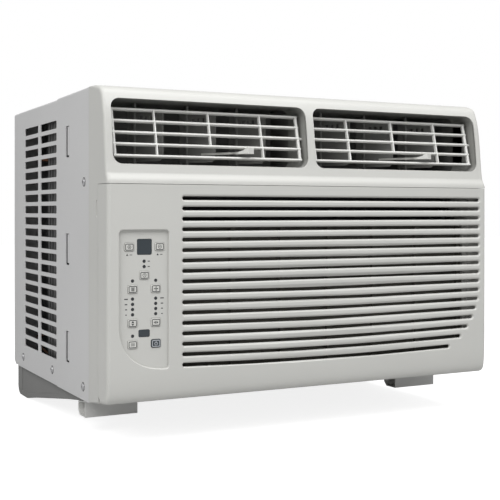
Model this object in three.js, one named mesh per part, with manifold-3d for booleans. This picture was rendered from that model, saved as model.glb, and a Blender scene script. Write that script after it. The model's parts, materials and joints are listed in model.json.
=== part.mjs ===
// Window air conditioner, in millimetres, +Z up, the room side facing -Y.
// Inside the assembly y = 0 is the front face and z = 0 the bezel's lower edge. The outer group
// moves that to the part's own frame, whose origin is under the middle of the whole object.

import * as THREE from 'three';
import { mergeVertices } from 'three/addons/utils/BufferGeometryUtils.js';
import Module from 'manifold-3d';

const wasm = await Module();
wasm.setup();

// ---- Driving dimensions ---------------------------------------------------------------------

const WIDTH = 470;
const HALF = WIDTH / 2;
const DEPTH = 366;
const PAN_DROP = 45;
const GAP = 0.3;

const BEZEL = { back: 57, top: 318, bottom: -6, wall: 2.6, corner: 5, edge: 6, crown: 3 };
const SEAM = { z: 217, gap: 0.4, sideDepth: 28, hingeDepth: 22.5, hingeHeight: 3 };
const OPENING = { inner: 4.5, outer: 227, low: 237, high: 303, corner: 10, wall: 1.5, back: 34 };
const SLOT = { count: 17, pitch: 10.52, first: 203.4, height: 4.4, left: -155, right: 225 };
const SLOT_ARC = { x: 149, z: 104, radius: 76 };

const LOUVER = { y: 23, z: 269, lean: 14, bars: 5, pitch: 12.2, bar: 2.6, depth: 10, end: 3 };
const LOUVER_X = { inner: 9, outer: 224 };
const OPENING_CENTRE = (OPENING.inner + OPENING.outer) / 2;
const VANE = { y: 80, pitch: 60.7, front: 38, rear: 10, thick: 1.6, low: 243, high: 297, swing: 30 };
const LEVER = { length: 84, low: 250.4, thick: 2.4, width: 4.6, paddle: 6, paddleTop: 257.5 };
const LINK = { radius: 8, pin: 1, low: 238.6, thick: 1.6, slack: 0.4 };

const COVER = { front: 57.4, step: 172, inset: 0.8, top: 316.4, bottom: -6, sheet: 1.2, corner: 14 };
const COIL_WINDOW = { x: [-196, 216], z: [24, 296], corner: 10, straps: [104, 200], strap: 12 };
const VENT = { rows: 20, pitch: 13.7, top: 292.5, height: 9, columns: [[175, 241], [251, 312]] };
const LANCE = { y: [118.6, 136.8], height: 34, tab: 6, lows: [26, 131.9, 248.8] };
const SCREWS = [[73, 220.5], [76, 8], [192, 9.4], [319.5, 7.8]];
const SCREW = { head: 4, rise: 1.5, shank: 1.7, length: 4.6 };

const PAN = { x: 229, front: 62, back: 366, rim: 4, wall: 1.5, corner: 12 };
const PAN_SLOPE = [[62, -6], [152, -18], [280, -37.5], [323, -PAN_DROP]];
const FOOT = { inner: 169, outer: 228, front: 91, depth: 24, bottom: -28, wall: 1.5, chamfer: 5 };

const FASCIA = { x: [-229, -163], y: [3.2, 5], z: [24, 180] };
const BUTTON = { width: 10, height: 8, front: 2.4, flangeAt: 5.3, back: 6.3, lip: 1.5, play: 0.35 };
const AXLE = { x: 45, z: 125, radius: 4 };

// Control positions across the panel: x, then height z.
const BUTTONS = {
  button_temp_up: [-211.4, 154.8],
  button_temp_down: [-179.2, 154.8],
  button_timer: [-195.5, 126.6],
  button_sleep: [-207.8, 113],
  button_fan: [-183.2, 113],
  button_mode: [-207.8, 79.4],
  button_swing: [-183.2, 79.4],
  button_filter: [-207.8, 58.4],
  button_power: [-183.2, 58.4],
};
const DISPLAY = { x: -195.3, z: 154.8, width: 15.2, height: 15.4, front: 3, lip: 1.5 };
const IR_WINDOW = { x: -195.6, z: 69, width: 11.5, height: 7, front: 3, lip: 0.7 };
const LED_RADIUS = 1.7;
const LED_COLUMNS = [-207.8, -183.3];
const LED_ROWS = [103.4, 98.2, 93.1, 87.9];
const LEDS = [[-195.6, 140.5], [-195.6, 135.2], [-207.8, 121.2], [-183.3, 121.2], [-207.8, 66.8]];
for (const x of LED_COLUMNS) {
  for (const z of LED_ROWS) {
    LEDS.push([x, z]);
  }
}

const FILTER = { x: [-146, 223], y: [33, 39], z: [14, 178], frame: 6, mesh: 1.5, columns: 6, rows: 3 };
const FILTER_TAB = { x: [222, 229], y: [34, 38], z: [80, 112] };
const FILTER_SLOT = { x: [HALF - 5, HALF + 1], y: [31.8, 40.2], z: [12, 180] };
const CONTROL_BOX = { x: [-230, -160], y: [5.4, 58], z: [20, 184], wall: 1.6 };
const GLAND = { y: 90, z: 20, neck: 6.5, bore: 4, flange: 9 };

const DUCT = { front: 34.4, back: 168, low: 232, high: 307, wall: 1.5, half: 228.5 };
const SCROLL = { front: 103, back: 167, wall: 2, tight: 84, wide: 104, tongue: 110 };
const WHEEL = { front: 108, back: 160, radius: 78, blades: 22, chord: 15, thick: 2 };
const COIL = { x: [-148, 224], y: [60, 94], z: [4, 206] };
const BULKHEAD = { y: [172, 174], half: 227, low: -14, high: 306, flange: 62, sheet: 1.2 };
const COMPRESSOR = { x: -150, y: 252, radius: 52, low: -18, high: 132 };
const MOTOR = { front: 186, back: 238, radius: 44 };
const FAN = { front: 262, back: 296, radius: 112, hub: 24, blades: 5, pitch: 30 };
const SHROUD = { y: [300, 302], x: [-92, 226], z: [-20, 304], hole: 117, collar: 16 };
const OUTDOOR_COIL = { x: [-200, 222], y: [330, 358], z: [-30, 302] };
const SUCTION_HOLE = { x: -180, z: 45, radius: 7 };
const CAPILLARY_HOLE = { x: -200, z: 15, radius: 4 };

// ---- Materials ------------------------------------------------------------------------------

function paint(color, roughness, metalness = 0) {
  return new THREE.MeshStandardMaterial({ color, roughness, metalness });
}

const COLOURS = {
  bezel: paint(0xd8d7d0, 0.45),
  steel: paint(0xbcbdbf, 0.42, 0.1),
  pan: paint(0x9fa19f, 0.5, 0.3),
  dark: paint(0x1d1e1d, 0.8),
  slate: paint(0x3d4248, 0.3),
  button: paint(0xc9c9c3, 0.5),
  vane: paint(0x3a3b39, 0.6),
  lever: paint(0xdcdcd6, 0.45),
  foam: paint(0xd2d2cd, 0.9),
  filter: paint(0x4a4f55, 0.8),
  fins: paint(0x9aa0a4, 0.4, 0.8),
  copper: paint(0xb26a45, 0.35, 0.9),
  black: paint(0x101010, 0.5, 0.2),
  zinc: paint(0xa8aaac, 0.35, 0.8),
  board: paint(0x2f5c3c, 0.6),
};

// ---- Solids ---------------------------------------------------------------------------------

function solid(geometry) {
  geometry.deleteAttribute('normal');
  geometry.deleteAttribute('uv');
  const welded = mergeVertices(geometry, 1e-4);
  const vertProperties = new Float32Array(welded.attributes.position.array);
  const triVerts = new Uint32Array(welded.index.array);
  return new wasm.Manifold(new wasm.Mesh({ numProp: 3, vertProperties, triVerts }));
}

function mesh(name, body, material) {
  const { vertProperties, triVerts } = body.getMesh();
  const geometry = new THREE.BufferGeometry();
  geometry.setAttribute('position', new THREE.BufferAttribute(vertProperties, 3));
  geometry.setIndex(new THREE.BufferAttribute(triVerts, 1));
  geometry.computeVertexNormals();
  const made = new THREE.Mesh(geometry, material);
  made.name = name;
  return made;
}

// A box from a [low, high] pair for each axis.
function box(x, y, z) {
  const geometry = new THREE.BoxGeometry(x[1] - x[0], y[1] - y[0], z[1] - z[0]);
  geometry.translate((x[0] + x[1]) / 2, (y[0] + y[1]) / 2, (z[0] + z[1]) / 2);
  return solid(geometry);
}

function extrude(shape, depth, curveSegments) {
  return new THREE.ExtrudeGeometry(shape, { depth, bevelEnabled: false, curveSegments, steps: 1 });
}

// A shape drawn in x and y, standing from z low to z high.
function alongZ(shape, low, high, curveSegments = 2) {
  const geometry = extrude(shape, high - low, curveSegments);
  geometry.translate(0, 0, low);
  return solid(geometry);
}

// A shape drawn in x and z, running from y low to y high.
function alongY(shape, low, high, curveSegments = 2) {
  const geometry = extrude(shape, high - low, curveSegments);
  geometry.rotateX(Math.PI / 2);
  geometry.translate(0, high, 0);
  return solid(geometry);
}

// A shape drawn in y and z, running from x low to x high.
function alongX(shape, low, high, curveSegments = 2) {
  const geometry = extrude(shape, high - low, curveSegments);
  const turn = new THREE.Matrix4().makeBasis(
    new THREE.Vector3(0, 1, 0), new THREE.Vector3(0, 0, 1), new THREE.Vector3(1, 0, 0));
  geometry.applyMatrix4(turn);
  geometry.translate(low, 0, 0);
  return solid(geometry);
}

function outline(points) {
  return new THREE.Shape(points.map(([a, b]) => new THREE.Vector2(a, b)));
}

function disc(a, b, radius) {
  return new THREE.Shape().absarc(a, b, radius, 0, 2 * Math.PI, false);
}

function ring(a, b, outer, inner) {
  const shape = disc(a, b, outer);
  shape.holes.push(new THREE.Path().absarc(a, b, inner, 0, 2 * Math.PI, true));
  return shape;
}

function rounded(left, right, low, high, radius, upper = radius) {
  const shape = new THREE.Shape();
  shape.absarc(right - upper, high - upper, upper, 0, Math.PI / 2, false);
  shape.absarc(left + upper, high - upper, upper, Math.PI / 2, Math.PI, false);
  shape.absarc(left + radius, low + radius, radius, Math.PI, 1.5 * Math.PI, false);
  shape.absarc(right - radius, low + radius, radius, 1.5 * Math.PI, 2 * Math.PI, false);
  return shape;
}

// The outline moved inward by a distance, corner by corner. Points run anticlockwise.
function inset(points, distance) {
  return points.map((point, i) => {
    const here = new THREE.Vector2(...point);
    const before = new THREE.Vector2(...points.at(i - 1));
    const after = new THREE.Vector2(...points[(i + 1) % points.length]);
    const inward = here.clone().sub(before).normalize();
    const outward = after.sub(here).normalize();
    const bisector = new THREE.Vector2(-inward.y - outward.y, inward.x + outward.x).normalize();
    const reach = distance / (bisector.x * -inward.y + bisector.y * inward.x);
    return here.addScaledVector(bisector, reach).toArray();
  });
}

function union(parts) {
  return parts.reduce((sum, part) => sum.add(part));
}

function cut(body, tools) {
  return tools.reduce((rest, tool) => rest.subtract(tool), body);
}

// A tube along a smooth path through the given points.
function tube(points, radius, steps) {
  const path = new THREE.CatmullRomCurve3(points.map((p) => new THREE.Vector3(...p)));
  const section = disc(0, 0, radius);
  const options = { extrudePath: path, steps, bevelEnabled: false, curveSegments: 4 };
  return solid(new THREE.ExtrudeGeometry(section, options));
}

// A body of revolution about a line along z through (x, y).
function turned(profile, x, y, segments) {
  const geometry = new THREE.LatheGeometry(profile.map(([r, z]) => new THREE.Vector2(r, z)), segments);
  geometry.rotateX(Math.PI / 2);
  geometry.translate(x, y, 0);
  return solid(geometry);
}

// ---- Front bezel and intake grille: one moulded shell split at the seam ---------------------

// Side view of the front, y then z, anticlockwise from the rear bottom corner.
const FRONT_PROFILE = [
  [BEZEL.back, BEZEL.bottom],
  [BEZEL.back, BEZEL.top],
  [44, 317.6],
  [36, 314.6],
  [25, 304],
  [17.5, 290],
  [10, 265],
  [7, 247],
  [5.5, 237],
  [2, 228],
  [0, SEAM.z],
  [0, 40],
  [0.6, 20],
  [2.2, 7],
  [5, 1.6],
  [9, 0],
];

function roundedFront() {
  const plan = new THREE.Shape();
  const r = BEZEL.corner;
  plan.moveTo(HALF, BEZEL.back + 1);
  plan.lineTo(-HALF, BEZEL.back + 1);
  plan.absarc(-HALF + r, r, r, Math.PI, 1.5 * Math.PI, false);
  plan.absarc(HALF - r, r, r, 1.5 * Math.PI, 2 * Math.PI, false);
  const body = alongX(outline(FRONT_PROFILE), -HALF, HALF);
  const face = rounded(-HALF, HALF, BEZEL.bottom - 1, BEZEL.top, BEZEL.edge, BEZEL.crown);
  return body.intersect(alongZ(plan, -20, 330)).intersect(alongY(face, -1, BEZEL.back + 1));
}

function frontShell(outer) {
  const wall = BEZEL.wall;
  const hollow = inset(FRONT_PROFILE, wall);
  hollow[0][0] = BEZEL.back + 2;
  hollow[1][0] = BEZEL.back + 2;
  return outer.subtract(alongX(outline(hollow), -HALF + wall, HALF - wall));
}

// The region in front of the seam, grown by half of the seam's gap for the bezel's side of it.
function panelRegion(grow) {
  const shape = outline([
    [-2, BEZEL.bottom - 4],
    [SEAM.hingeDepth + grow, BEZEL.bottom - 4],
    [SEAM.hingeDepth + grow, SEAM.hingeHeight],
    [SEAM.sideDepth + grow, 2 * SEAM.hingeHeight],
    [SEAM.sideDepth + grow, SEAM.z + grow],
    [-2, SEAM.z + grow],
  ]);
  return alongX(shape, -HALF - 1, HALF + 1);
}

function frontBezel() {
  const outer = roundedFront();
  const inside = HALF - BEZEL.wall;
  const hingeRoom = box([-HALF - 1, HALF + 1], [-1, SEAM.sideDepth - 0.6], [-10, 2 * SEAM.hingeHeight]);
  const floorRoom = box([-inside, inside], [-1, 30], [-10, 8]);
  const parts = [cut(frontShell(outer), [panelRegion(SEAM.gap), hingeRoom, floorRoom])];
  const shelf = box([-inside - 1, inside + 1], [0, BEZEL.back], [SEAM.z + SEAM.gap, SEAM.z + 2.6]);
  parts.push(shelf.intersect(outer));
  const grown = OPENING.wall;
  const holes = [];
  for (const side of [-1, 1]) {
    const [left, right] = [OPENING.inner * side, OPENING.outer * side].sort((a, b) => a - b);
    const sleeve = rounded(left - grown, right + grown, OPENING.low - grown, OPENING.high + grown,
      OPENING.corner + grown);
    const clear = rounded(left, right, OPENING.low, OPENING.high, OPENING.corner);
    parts.push(alongY(sleeve, 0, OPENING.back, 3).intersect(outer));
    holes.push(alongY(clear, -1, OPENING.back + 1, 3));
  }
  holes.push(alongX(disc(LOUVER.y, LOUVER.z, 1.9), -HALF + 4, HALF - 4, 4));
  holes.push(box(FILTER_SLOT.x, FILTER_SLOT.y, FILTER_SLOT.z));
  for (const side of [-1, 1]) {
    const dent = box([HALF - 0.8, HALF + 1], [29.5, 35], [184, 202]);
    holes.push(side > 0 ? dent : dent.rotate([0, 0, 180]).translate([0, 64.5, 0]));
  }
  return mesh('front_bezel', cut(union(parts), holes), COLOURS.bezel);
}

function slotRight(z) {
  const drop = SLOT_ARC.z - z;
  return drop <= 0 ? SLOT.right : SLOT_ARC.x + Math.sqrt(SLOT_ARC.radius ** 2 - drop ** 2);
}

// The control window: square at the top, one long sweep at its lower left.
function windowShape() {
  const shape = new THREE.Shape();
  shape.moveTo(-170, 36);
  shape.lineTo(-170, 167.5);
  shape.absarc(-174, 167.5, 4, 0, Math.PI / 2, false);
  shape.absarc(-218.5, 167.5, 4, Math.PI / 2, Math.PI, false);
  shape.lineTo(-222.5, 76);
  shape.bezierCurveTo(-222.5, 50, -205, 33, -173, 33);
  shape.lineTo(-170, 36);
  return shape;
}

function intakeGrille() {
  const holes = [alongY(windowShape(), -1, 6, 4)];
  for (let k = 0; k < SLOT.count; k += 1) {
    const z = SLOT.first - k * SLOT.pitch;
    const shape = rounded(SLOT.left, slotRight(z), z - SLOT.height / 2, z + SLOT.height / 2, 2);
    holes.push(alongY(shape, -1, 6));
  }
  const panel = frontShell(roundedFront()).intersect(panelRegion(0));
  return mesh('intake_grille', cut(panel, holes), COLOURS.bezel);
}

// ---- Cabinet cover: folded sheet over the outdoor half --------------------------------------

function coverShell(front, back, inward) {
  const half = HALF - inward;
  const top = COVER.top - inward;
  const side = new THREE.Shape();
  const corner = back > COVER.step ? COVER.corner : 0;
  side.moveTo(front, COVER.bottom);
  side.lineTo(back - corner, COVER.bottom);
  if (corner > 0) {
    side.absarc(back - corner, COVER.bottom + corner, corner, 1.5 * Math.PI, 2 * Math.PI, false);
  }
  side.lineTo(back, top);
  side.lineTo(front, top);
  const end = rounded(-half, half, COVER.bottom - 20, top, 3);
  return alongX(side, -half, half).intersect(alongY(end, front - 1, back + 1));
}

function slotOutline(low, high, base, height) {
  return outline([[low, base], [high, base], [high, base + height], [low, base + height]]);
}

function cabinetCover() {
  const inner = COVER.inset + COVER.sheet;
  const outer = coverShell(COVER.front, COVER.step, 0)
    .add(coverShell(COVER.step - 1, DEPTH, COVER.inset));
  const half = HALF - inner;
  const holes = [
    box([-half, half], [COVER.front - 1, DEPTH - COVER.sheet], [COVER.bottom - 30, COVER.top - inner]),
  ];
  for (const [low, high] of VENT.columns) {
    for (let row = 0; row < VENT.rows; row += 1) {
      const base = VENT.top - VENT.height - row * VENT.pitch;
      holes.push(alongX(slotOutline(low, high, base, VENT.height), -HALF - 1, HALF + 1));
    }
  }
  const [lanceFront, lanceBack] = LANCE.y;
  for (const low of LANCE.lows) {
    const slit = slotOutline(lanceFront + LANCE.tab, lanceBack, low, LANCE.height);
    holes.push(alongX(slit, -HALF - 1, HALF + 1));
  }
  for (const [y, z] of SCREWS) {
    holes.push(alongX(disc(y, z, SCREW.shank + GAP), -HALF - 1, HALF + 1, 3));
  }
  holes.push(alongX(disc(GLAND.y, GLAND.z, GLAND.neck + GAP), 0, HALF + 1, 4));
  const window = COIL_WINDOW;
  const opening = rounded(...window.x, ...window.z, window.corner);
  holes.push(alongY(opening, DEPTH - 4, DEPTH + 1));
  const straps = window.straps.map((z) => box(
    [window.x[0] - 1, window.x[1] + 1], [DEPTH - COVER.sheet, DEPTH], [z, z + window.strap]));
  return mesh('cabinet_cover', union([cut(outer, holes), ...straps]), COLOURS.steel);
}

// ---- Base pan and bracket feet --------------------------------------------------------------

function panOutline() {
  const r = PAN.corner;
  const points = [...PAN_SLOPE];
  for (let i = 0; i <= 4; i += 1) {
    const angle = -Math.PI / 2 + (i * Math.PI) / 8;
    points.push([PAN.back - r + r * Math.cos(angle), -PAN_DROP + r + r * Math.sin(angle)]);
  }
  points.push([PAN.back, COVER.bottom - GAP]);
  points.push([PAN.back - 2, COVER.bottom - GAP]);
  points.push([PAN.back - 2, PAN.rim]);
  points.push([PAN.front, PAN.rim]);
  return points;
}

// Height of the pan's underside at depth y.
function panUnderside(y) {
  const i = PAN_SLOPE.findIndex(([next]) => next > y);
  const [y0, z0] = PAN_SLOPE[i - 1];
  const [y1, z1] = PAN_SLOPE[i];
  return z0 + ((y - y0) / (y1 - y0)) * (z1 - z0);
}

function basePan() {
  const points = panOutline();
  const hollow = inset(points, PAN.wall);
  hollow.at(-1)[1] = PAN.rim + 5;
  hollow.at(-2)[1] = PAN.rim + 5;
  const tray = alongX(outline(points), -PAN.x, PAN.x);
  return mesh('base_pan', tray.subtract(alongX(outline(hollow), -PAN.x + PAN.wall, PAN.x - PAN.wall)),
    COLOURS.pan);
}

// A short box channel, open at both ends, with its lower rear corner bevelled.
function foot(name, side) {
  const { front, depth, bottom, wall, chamfer } = FOOT;
  const back = front + depth;
  const points = [
    [front, bottom],
    [back - chamfer, bottom],
    [back, bottom + chamfer],
    [back, panUnderside(back) - GAP],
    [front, panUnderside(front) - GAP],
  ];
  const [low, high] = [FOOT.inner * side, FOOT.outer * side].sort((a, b) => a - b);
  const body = alongX(outline(points), low, high);
  return mesh(name, body.subtract(alongX(outline(inset(points, wall)), low - 1, high + 1)), COLOURS.pan);
}

// ---- Louvers, vanes, levers and link bars ---------------------------------------------------

// Made about its own pivot, upright: x along the opening, y through it, z up the grid.
function louver(name, side) {
  const reach = (LOUVER_X.outer - LOUVER_X.inner) / 2;
  const top = ((LOUVER.bars - 1) * LOUVER.pitch) / 2;
  const half = LOUVER.depth / 2;
  const thin = LOUVER.bar / 2;
  const bar = [[-half, -0.5], [-half + 1.2, -thin], [half, -thin * 0.6], [half, thin * 0.6],
    [-half + 1.2, thin], [-half, 0.5]];
  const parts = [];
  for (let i = 0; i < LOUVER.bars; i += 1) {
    const z = top - i * LOUVER.pitch;
    parts.push(alongX(outline(bar.map(([a, b]) => [a, b + z])), -reach, reach));
  }
  const stop = top - (LOUVER.bars - 2) * LOUVER.pitch;
  const upright = (x, width, low) => box([x - width / 2, x + width / 2], [-half, half], [low, top]);
  parts.push(upright(-reach + LOUVER.end / 2, LOUVER.end, -top));
  parts.push(upright(reach - LOUVER.end / 2, LOUVER.end, -top));
  parts.push(upright(-VANE.pitch, LOUVER.bar, -top));
  parts.push(upright(VANE.pitch, LOUVER.bar, -top));
  parts.push(upright(0, LOUVER.bar, stop));
  const pinEnd = (OPENING.outer - OPENING.inner) / 2 + OPENING.wall - GAP;
  const pin = disc(0, 0, 1.5);
  parts.push(alongX(pin, -pinEnd, -reach + 1, 4));
  parts.push(alongX(pin, reach - 1, pinEnd, 4));
  const made = mesh(name, union(parts), COLOURS.bezel);
  made.position.set(side * OPENING_CENTRE, LOUVER.y, LOUVER.z);
  made.rotation.x = THREE.MathUtils.degToRad(-LOUVER.lean);
  return made;
}

// A blade about its vertical pin, pointing straight ahead until it is swung.
function vane(name, x) {
  const t = VANE.thick / 2;
  const blade = outline([[-t, -VANE.front + 1.5], [0, -VANE.front], [t, -VANE.front + 1.5],
    [t, VANE.rear - 1], [0, VANE.rear], [-t, VANE.rear - 1]]);
  const post = disc(0, 0, 1.5);
  const body = union([
    alongZ(blade, VANE.low, VANE.high),
    alongZ(post, DUCT.low + GAP, DUCT.high - GAP, 4),
    alongZ(disc(0, LINK.radius, LINK.pin), LINK.low - 0.8, VANE.low + 2, 3),
  ]);
  const made = mesh(name, body, COLOURS.vane);
  made.position.set(x, VANE.y, 0);
  made.rotation.z = THREE.MathUtils.degToRad(VANE.swing);
  return made;
}

// The lever clips over the front edge of the middle vane and ends in a raised thumb paddle.
function vaneLever(name, x) {
  const top = LEVER.low + LEVER.thick;
  const half = LEVER.width / 2;
  const arm = box([-half, half], [-LEVER.length, -20], [LEVER.low, top]);
  const paddleSide = outline([
    [-LEVER.length, LEVER.low], [-LEVER.length + LEVER.paddle + 3, LEVER.low],
    [-LEVER.length + LEVER.paddle + 3, top], [-LEVER.length + 2, LEVER.paddleTop],
    [-LEVER.length, LEVER.paddleTop],
  ]);
  const paddle = alongX(paddleSide, -5, 5);
  const notch = box([-VANE.thick / 2 - GAP, VANE.thick / 2 + GAP], [-VANE.front - GAP, 0],
    [LEVER.low - 1, top + 1]);
  const made = mesh(name, arm.add(paddle).subtract(notch), COLOURS.lever);
  made.position.set(x, VANE.y, 0);
  made.rotation.z = THREE.MathUtils.degToRad(VANE.swing);
  return made;
}

function linkBar(name, x) {
  const swing = THREE.MathUtils.degToRad(VANE.swing);
  const near = LINK.radius * Math.cos(swing) - LINK.pin - LINK.slack;
  const far = LINK.radius + LINK.pin + LINK.slack;
  const end = VANE.pitch + 6;
  const holes = [-VANE.pitch, 0, VANE.pitch].map((centre) => box(
    [centre - LINK.pin - LINK.slack, centre + LINK.pin + LINK.slack], [near, far],
    [LINK.low - 1, LINK.low + LINK.thick + 1]));
  const strip = box([-end, end], [2.6, far + 2.4], [LINK.low, LINK.low + LINK.thick]);
  const made = mesh(name, cut(strip, holes), COLOURS.vane);
  made.position.set(x - LINK.radius * Math.sin(swing), VANE.y, 0);
  return made;
}

// ---- Discharge duct, blower, coils ----------------------------------------------------------

function scrollOutline() {
  const start = THREE.MathUtils.degToRad(SCROLL.tongue);
  const sweep = 2 * Math.PI - start;
  const points = [];
  const steps = 12;
  for (let i = 0; i <= steps; i += 1) {
    const angle = start + (sweep * i) / steps;
    const radius = SCROLL.tight + ((SCROLL.wide - SCROLL.tight) * i) / steps;
    points.push([AXLE.x + radius * Math.cos(angle), AXLE.z + radius * Math.sin(angle)]);
  }
  points.push([AXLE.x + SCROLL.wide, DUCT.low - GAP]);
  points.push([points[0][0], DUCT.low - GAP]);
  return points;
}

function blowerHousing() {
  const points = scrollOutline();
  const hollow = inset(points, SCROLL.wall);
  hollow.at(-1)[1] = DUCT.low + 5;
  hollow.at(-2)[1] = DUCT.low + 5;
  const { front, back, wall } = SCROLL;
  const holes = [
    alongY(outline(hollow), front + wall, back - wall),
    alongY(disc(AXLE.x, AXLE.z, 66), front - 1, front + wall + 1, 12),
    alongY(disc(AXLE.x, AXLE.z, 8), back - wall - 1, back + 1, 5),
  ];
  return mesh('blower_housing', cut(alongY(outline(points), front, back), holes), COLOURS.foam);
}

function dischargeDuct() {
  const { front, back, low, high, wall, half } = DUCT;
  const throat = scrollOutline();
  const left = throat[0][0] + SCROLL.wall;
  const right = AXLE.x + SCROLL.wide - SCROLL.wall;
  const body = box([-half, half], [front, back], [low, high]);
  const holes = [
    box([-half + wall, -1], [front - 1, back - wall], [low + wall, high - wall]),
    box([1, half - wall], [front - 1, back - wall], [low + wall, high - wall]),
    box([-1.5, 1.5], [VANE.y + 20, back - wall], [low + wall, high - wall]),
    box([left, right], [SCROLL.front + SCROLL.wall, SCROLL.back - SCROLL.wall], [low - 1, low + 3]),
  ];
  for (const x of vanePlaces()) {
    holes.push(alongZ(disc(x, VANE.y, 1.9), low - 1, high + 1, 4));
  }
  return mesh('discharge_duct', cut(body, holes), COLOURS.foam);
}

function vanePlaces() {
  const steps = [-VANE.pitch, 0, VANE.pitch];
  return [-OPENING_CENTRE, OPENING_CENTRE].flatMap((centre) => steps.map((step) => centre + step));
}

function blowerWheel() {
  const { front, back, radius, blades, chord, thick } = WHEEL;
  const parts = [
    alongY(disc(AXLE.x, AXLE.z, radius), back - 2, back, 12),
    alongY(ring(AXLE.x, AXLE.z, radius, radius - 6), front, front + 2, 12),
    alongY(disc(AXLE.x, AXLE.z, 11), back - 14, back, 6),
  ];
  for (let i = 0; i < blades; i += 1) {
    const turn = (360 * i) / blades;
    const blade = box([radius - chord, radius - 1], [front + 1, back - 1], [-thick / 2, thick / 2]);
    const lifted = blade.translate([-radius + chord / 2, 0, 0]).rotate([0, 28, 0])
      .translate([radius - chord / 2 - 1, 0, 0]);
    parts.push(lifted.rotate([0, turn, 0]).translate([AXLE.x, 0, AXLE.z]));
  }
  const bore = alongY(disc(AXLE.x, AXLE.z, AXLE.radius + GAP), front, back + 1, 5);
  return mesh('blower_wheel', union(parts).subtract(bore), COLOURS.black);
}

function condenserFan() {
  const { front, back, radius, hub, blades, pitch } = FAN;
  const middle = (front + back) / 2;
  const parts = [
    alongY(disc(0, 0, hub), front + 6, back - 6, 8),
    alongY(ring(0, 0, radius + 2, radius - 1.5), middle - 5, middle + 5, 12),
  ];
  for (let i = 0; i < blades; i += 1) {
    const plan = outline([[-10, hub - 4], [12, hub - 4], [34, 70], [30, radius - 1], [-30, radius - 1],
      [-26, 60]]);
    const blade = alongY(plan, -1.2, 1.2).rotate([0, 0, pitch]);
    parts.push(blade.translate([0, middle, 0]).rotate([0, (360 * i) / blades, 0]));
  }
  const body = union(parts).subtract(alongY(disc(0, 0, AXLE.radius + GAP), front, back, 5));
  return mesh('condenser_fan', body.translate([AXLE.x, 0, AXLE.z]), COLOURS.black);
}

function finnedCoil(name, { x, y, z }, grooves) {
  const block = box(x, y, z);
  const step = (z[1] - z[0]) / grooves;
  const holes = [];
  for (let i = 0; i < grooves; i += 1) {
    const low = z[0] + (i + 0.5) * step;
    holes.push(box([x[0] + 3, x[1] - 3], [y[0] - 1, y[0] + 1], [low, low + step * 0.25]));
    holes.push(box([x[0] + 3, x[1] - 3], [y[1] - 1, y[1] + 1], [low, low + step * 0.25]));
  }
  return mesh(name, cut(block, holes), COLOURS.fins);
}

// ---- Outdoor half: compressor, motor, shroud, lines -----------------------------------------

// The wall between the halves, its side flanges folded back behind the front column of vents.
function bulkhead() {
  const { y, half, low, high, flange, sheet } = BULKHEAD;
  const holes = [
    alongY(disc(AXLE.x, AXLE.z, 12), y[0] - 1, y[1] + 1, 5),
    alongY(disc(SUCTION_HOLE.x, SUCTION_HOLE.z, SUCTION_HOLE.radius), y[0] - 1, y[1] + 1, 5),
    alongY(disc(CAPILLARY_HOLE.x, CAPILLARY_HOLE.z, CAPILLARY_HOLE.radius), y[0] - 1, y[1] + 1, 4),
  ];
  const plate = box([-half, half], y, [low, high]);
  const flanges = [
    box([-half, -half + sheet], [y[0], y[0] + flange], [low, high]),
    box([half - sheet, half], [y[0], y[0] + flange], [low, high]),
  ];
  return mesh('bulkhead', cut(union([plate, ...flanges]), holes), COLOURS.zinc);
}

function compressor() {
  const { x, y, radius, low, high } = COMPRESSOR;
  const profile = [[0, low], [radius - 8, low], [radius, low + 12], [radius, high - 26],
    [radius * 0.82, high - 8], [radius * 0.4, high], [0, high]];
  const parts = [turned(profile, x, y, 20)];
  for (const degrees of [90, 210, 330]) {
    const angle = THREE.MathUtils.degToRad(degrees);
    const footX = x + 42 * Math.cos(angle);
    const footY = y + 42 * Math.sin(angle);
    const floor = panUnderside(footY - 6) + PAN.wall + 2 * GAP;
    parts.push(alongZ(disc(footX, footY, 6), floor, low + 4, 4));
  }
  return mesh('compressor', union(parts), COLOURS.black);
}

function fanMotor() {
  const { front, back, radius } = MOTOR;
  const body = union([
    alongY(disc(AXLE.x, AXLE.z, radius), front + 6, back - 6, 10),
    alongY(disc(AXLE.x, AXLE.z, 18), front, back, 8),
  ]);
  const bore = alongY(disc(AXLE.x, AXLE.z, AXLE.radius + GAP), front - 1, back + 1, 5);
  return mesh('fan_motor', body.subtract(bore), COLOURS.zinc);
}

function motorBracket() {
  const y = MOTOR.back + GAP;
  const low = panUnderside(y - 40) + PAN.wall + GAP;
  const plate = box([AXLE.x - 52, AXLE.x + 52], [y, y + 3], [low, AXLE.z + 50]);
  const base = box([AXLE.x - 52, AXLE.x + 52], [y - 38, y + 3], [low, low + 3]);
  const hole = alongY(disc(AXLE.x, AXLE.z, 22), y - 1, y + 4, 6);
  return mesh('motor_bracket', plate.add(base).subtract(hole), COLOURS.zinc);
}

function motorShaft() {
  const body = alongY(disc(AXLE.x, AXLE.z, AXLE.radius), WHEEL.back - 12, FAN.back - 4, 5);
  return mesh('motor_shaft', body, COLOURS.zinc);
}

function condenserShroud() {
  const { y, x, z, hole, collar } = SHROUD;
  const plate = box(x, y, z).subtract(alongY(disc(AXLE.x, AXLE.z, hole), y[0] - 1, y[1] + 1, 16));
  const rim = alongY(ring(AXLE.x, AXLE.z, hole + 1.6, hole), y[0] - collar, y[1], 16);
  return mesh('condenser_shroud', plate.add(rim), COLOURS.foam);
}

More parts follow.
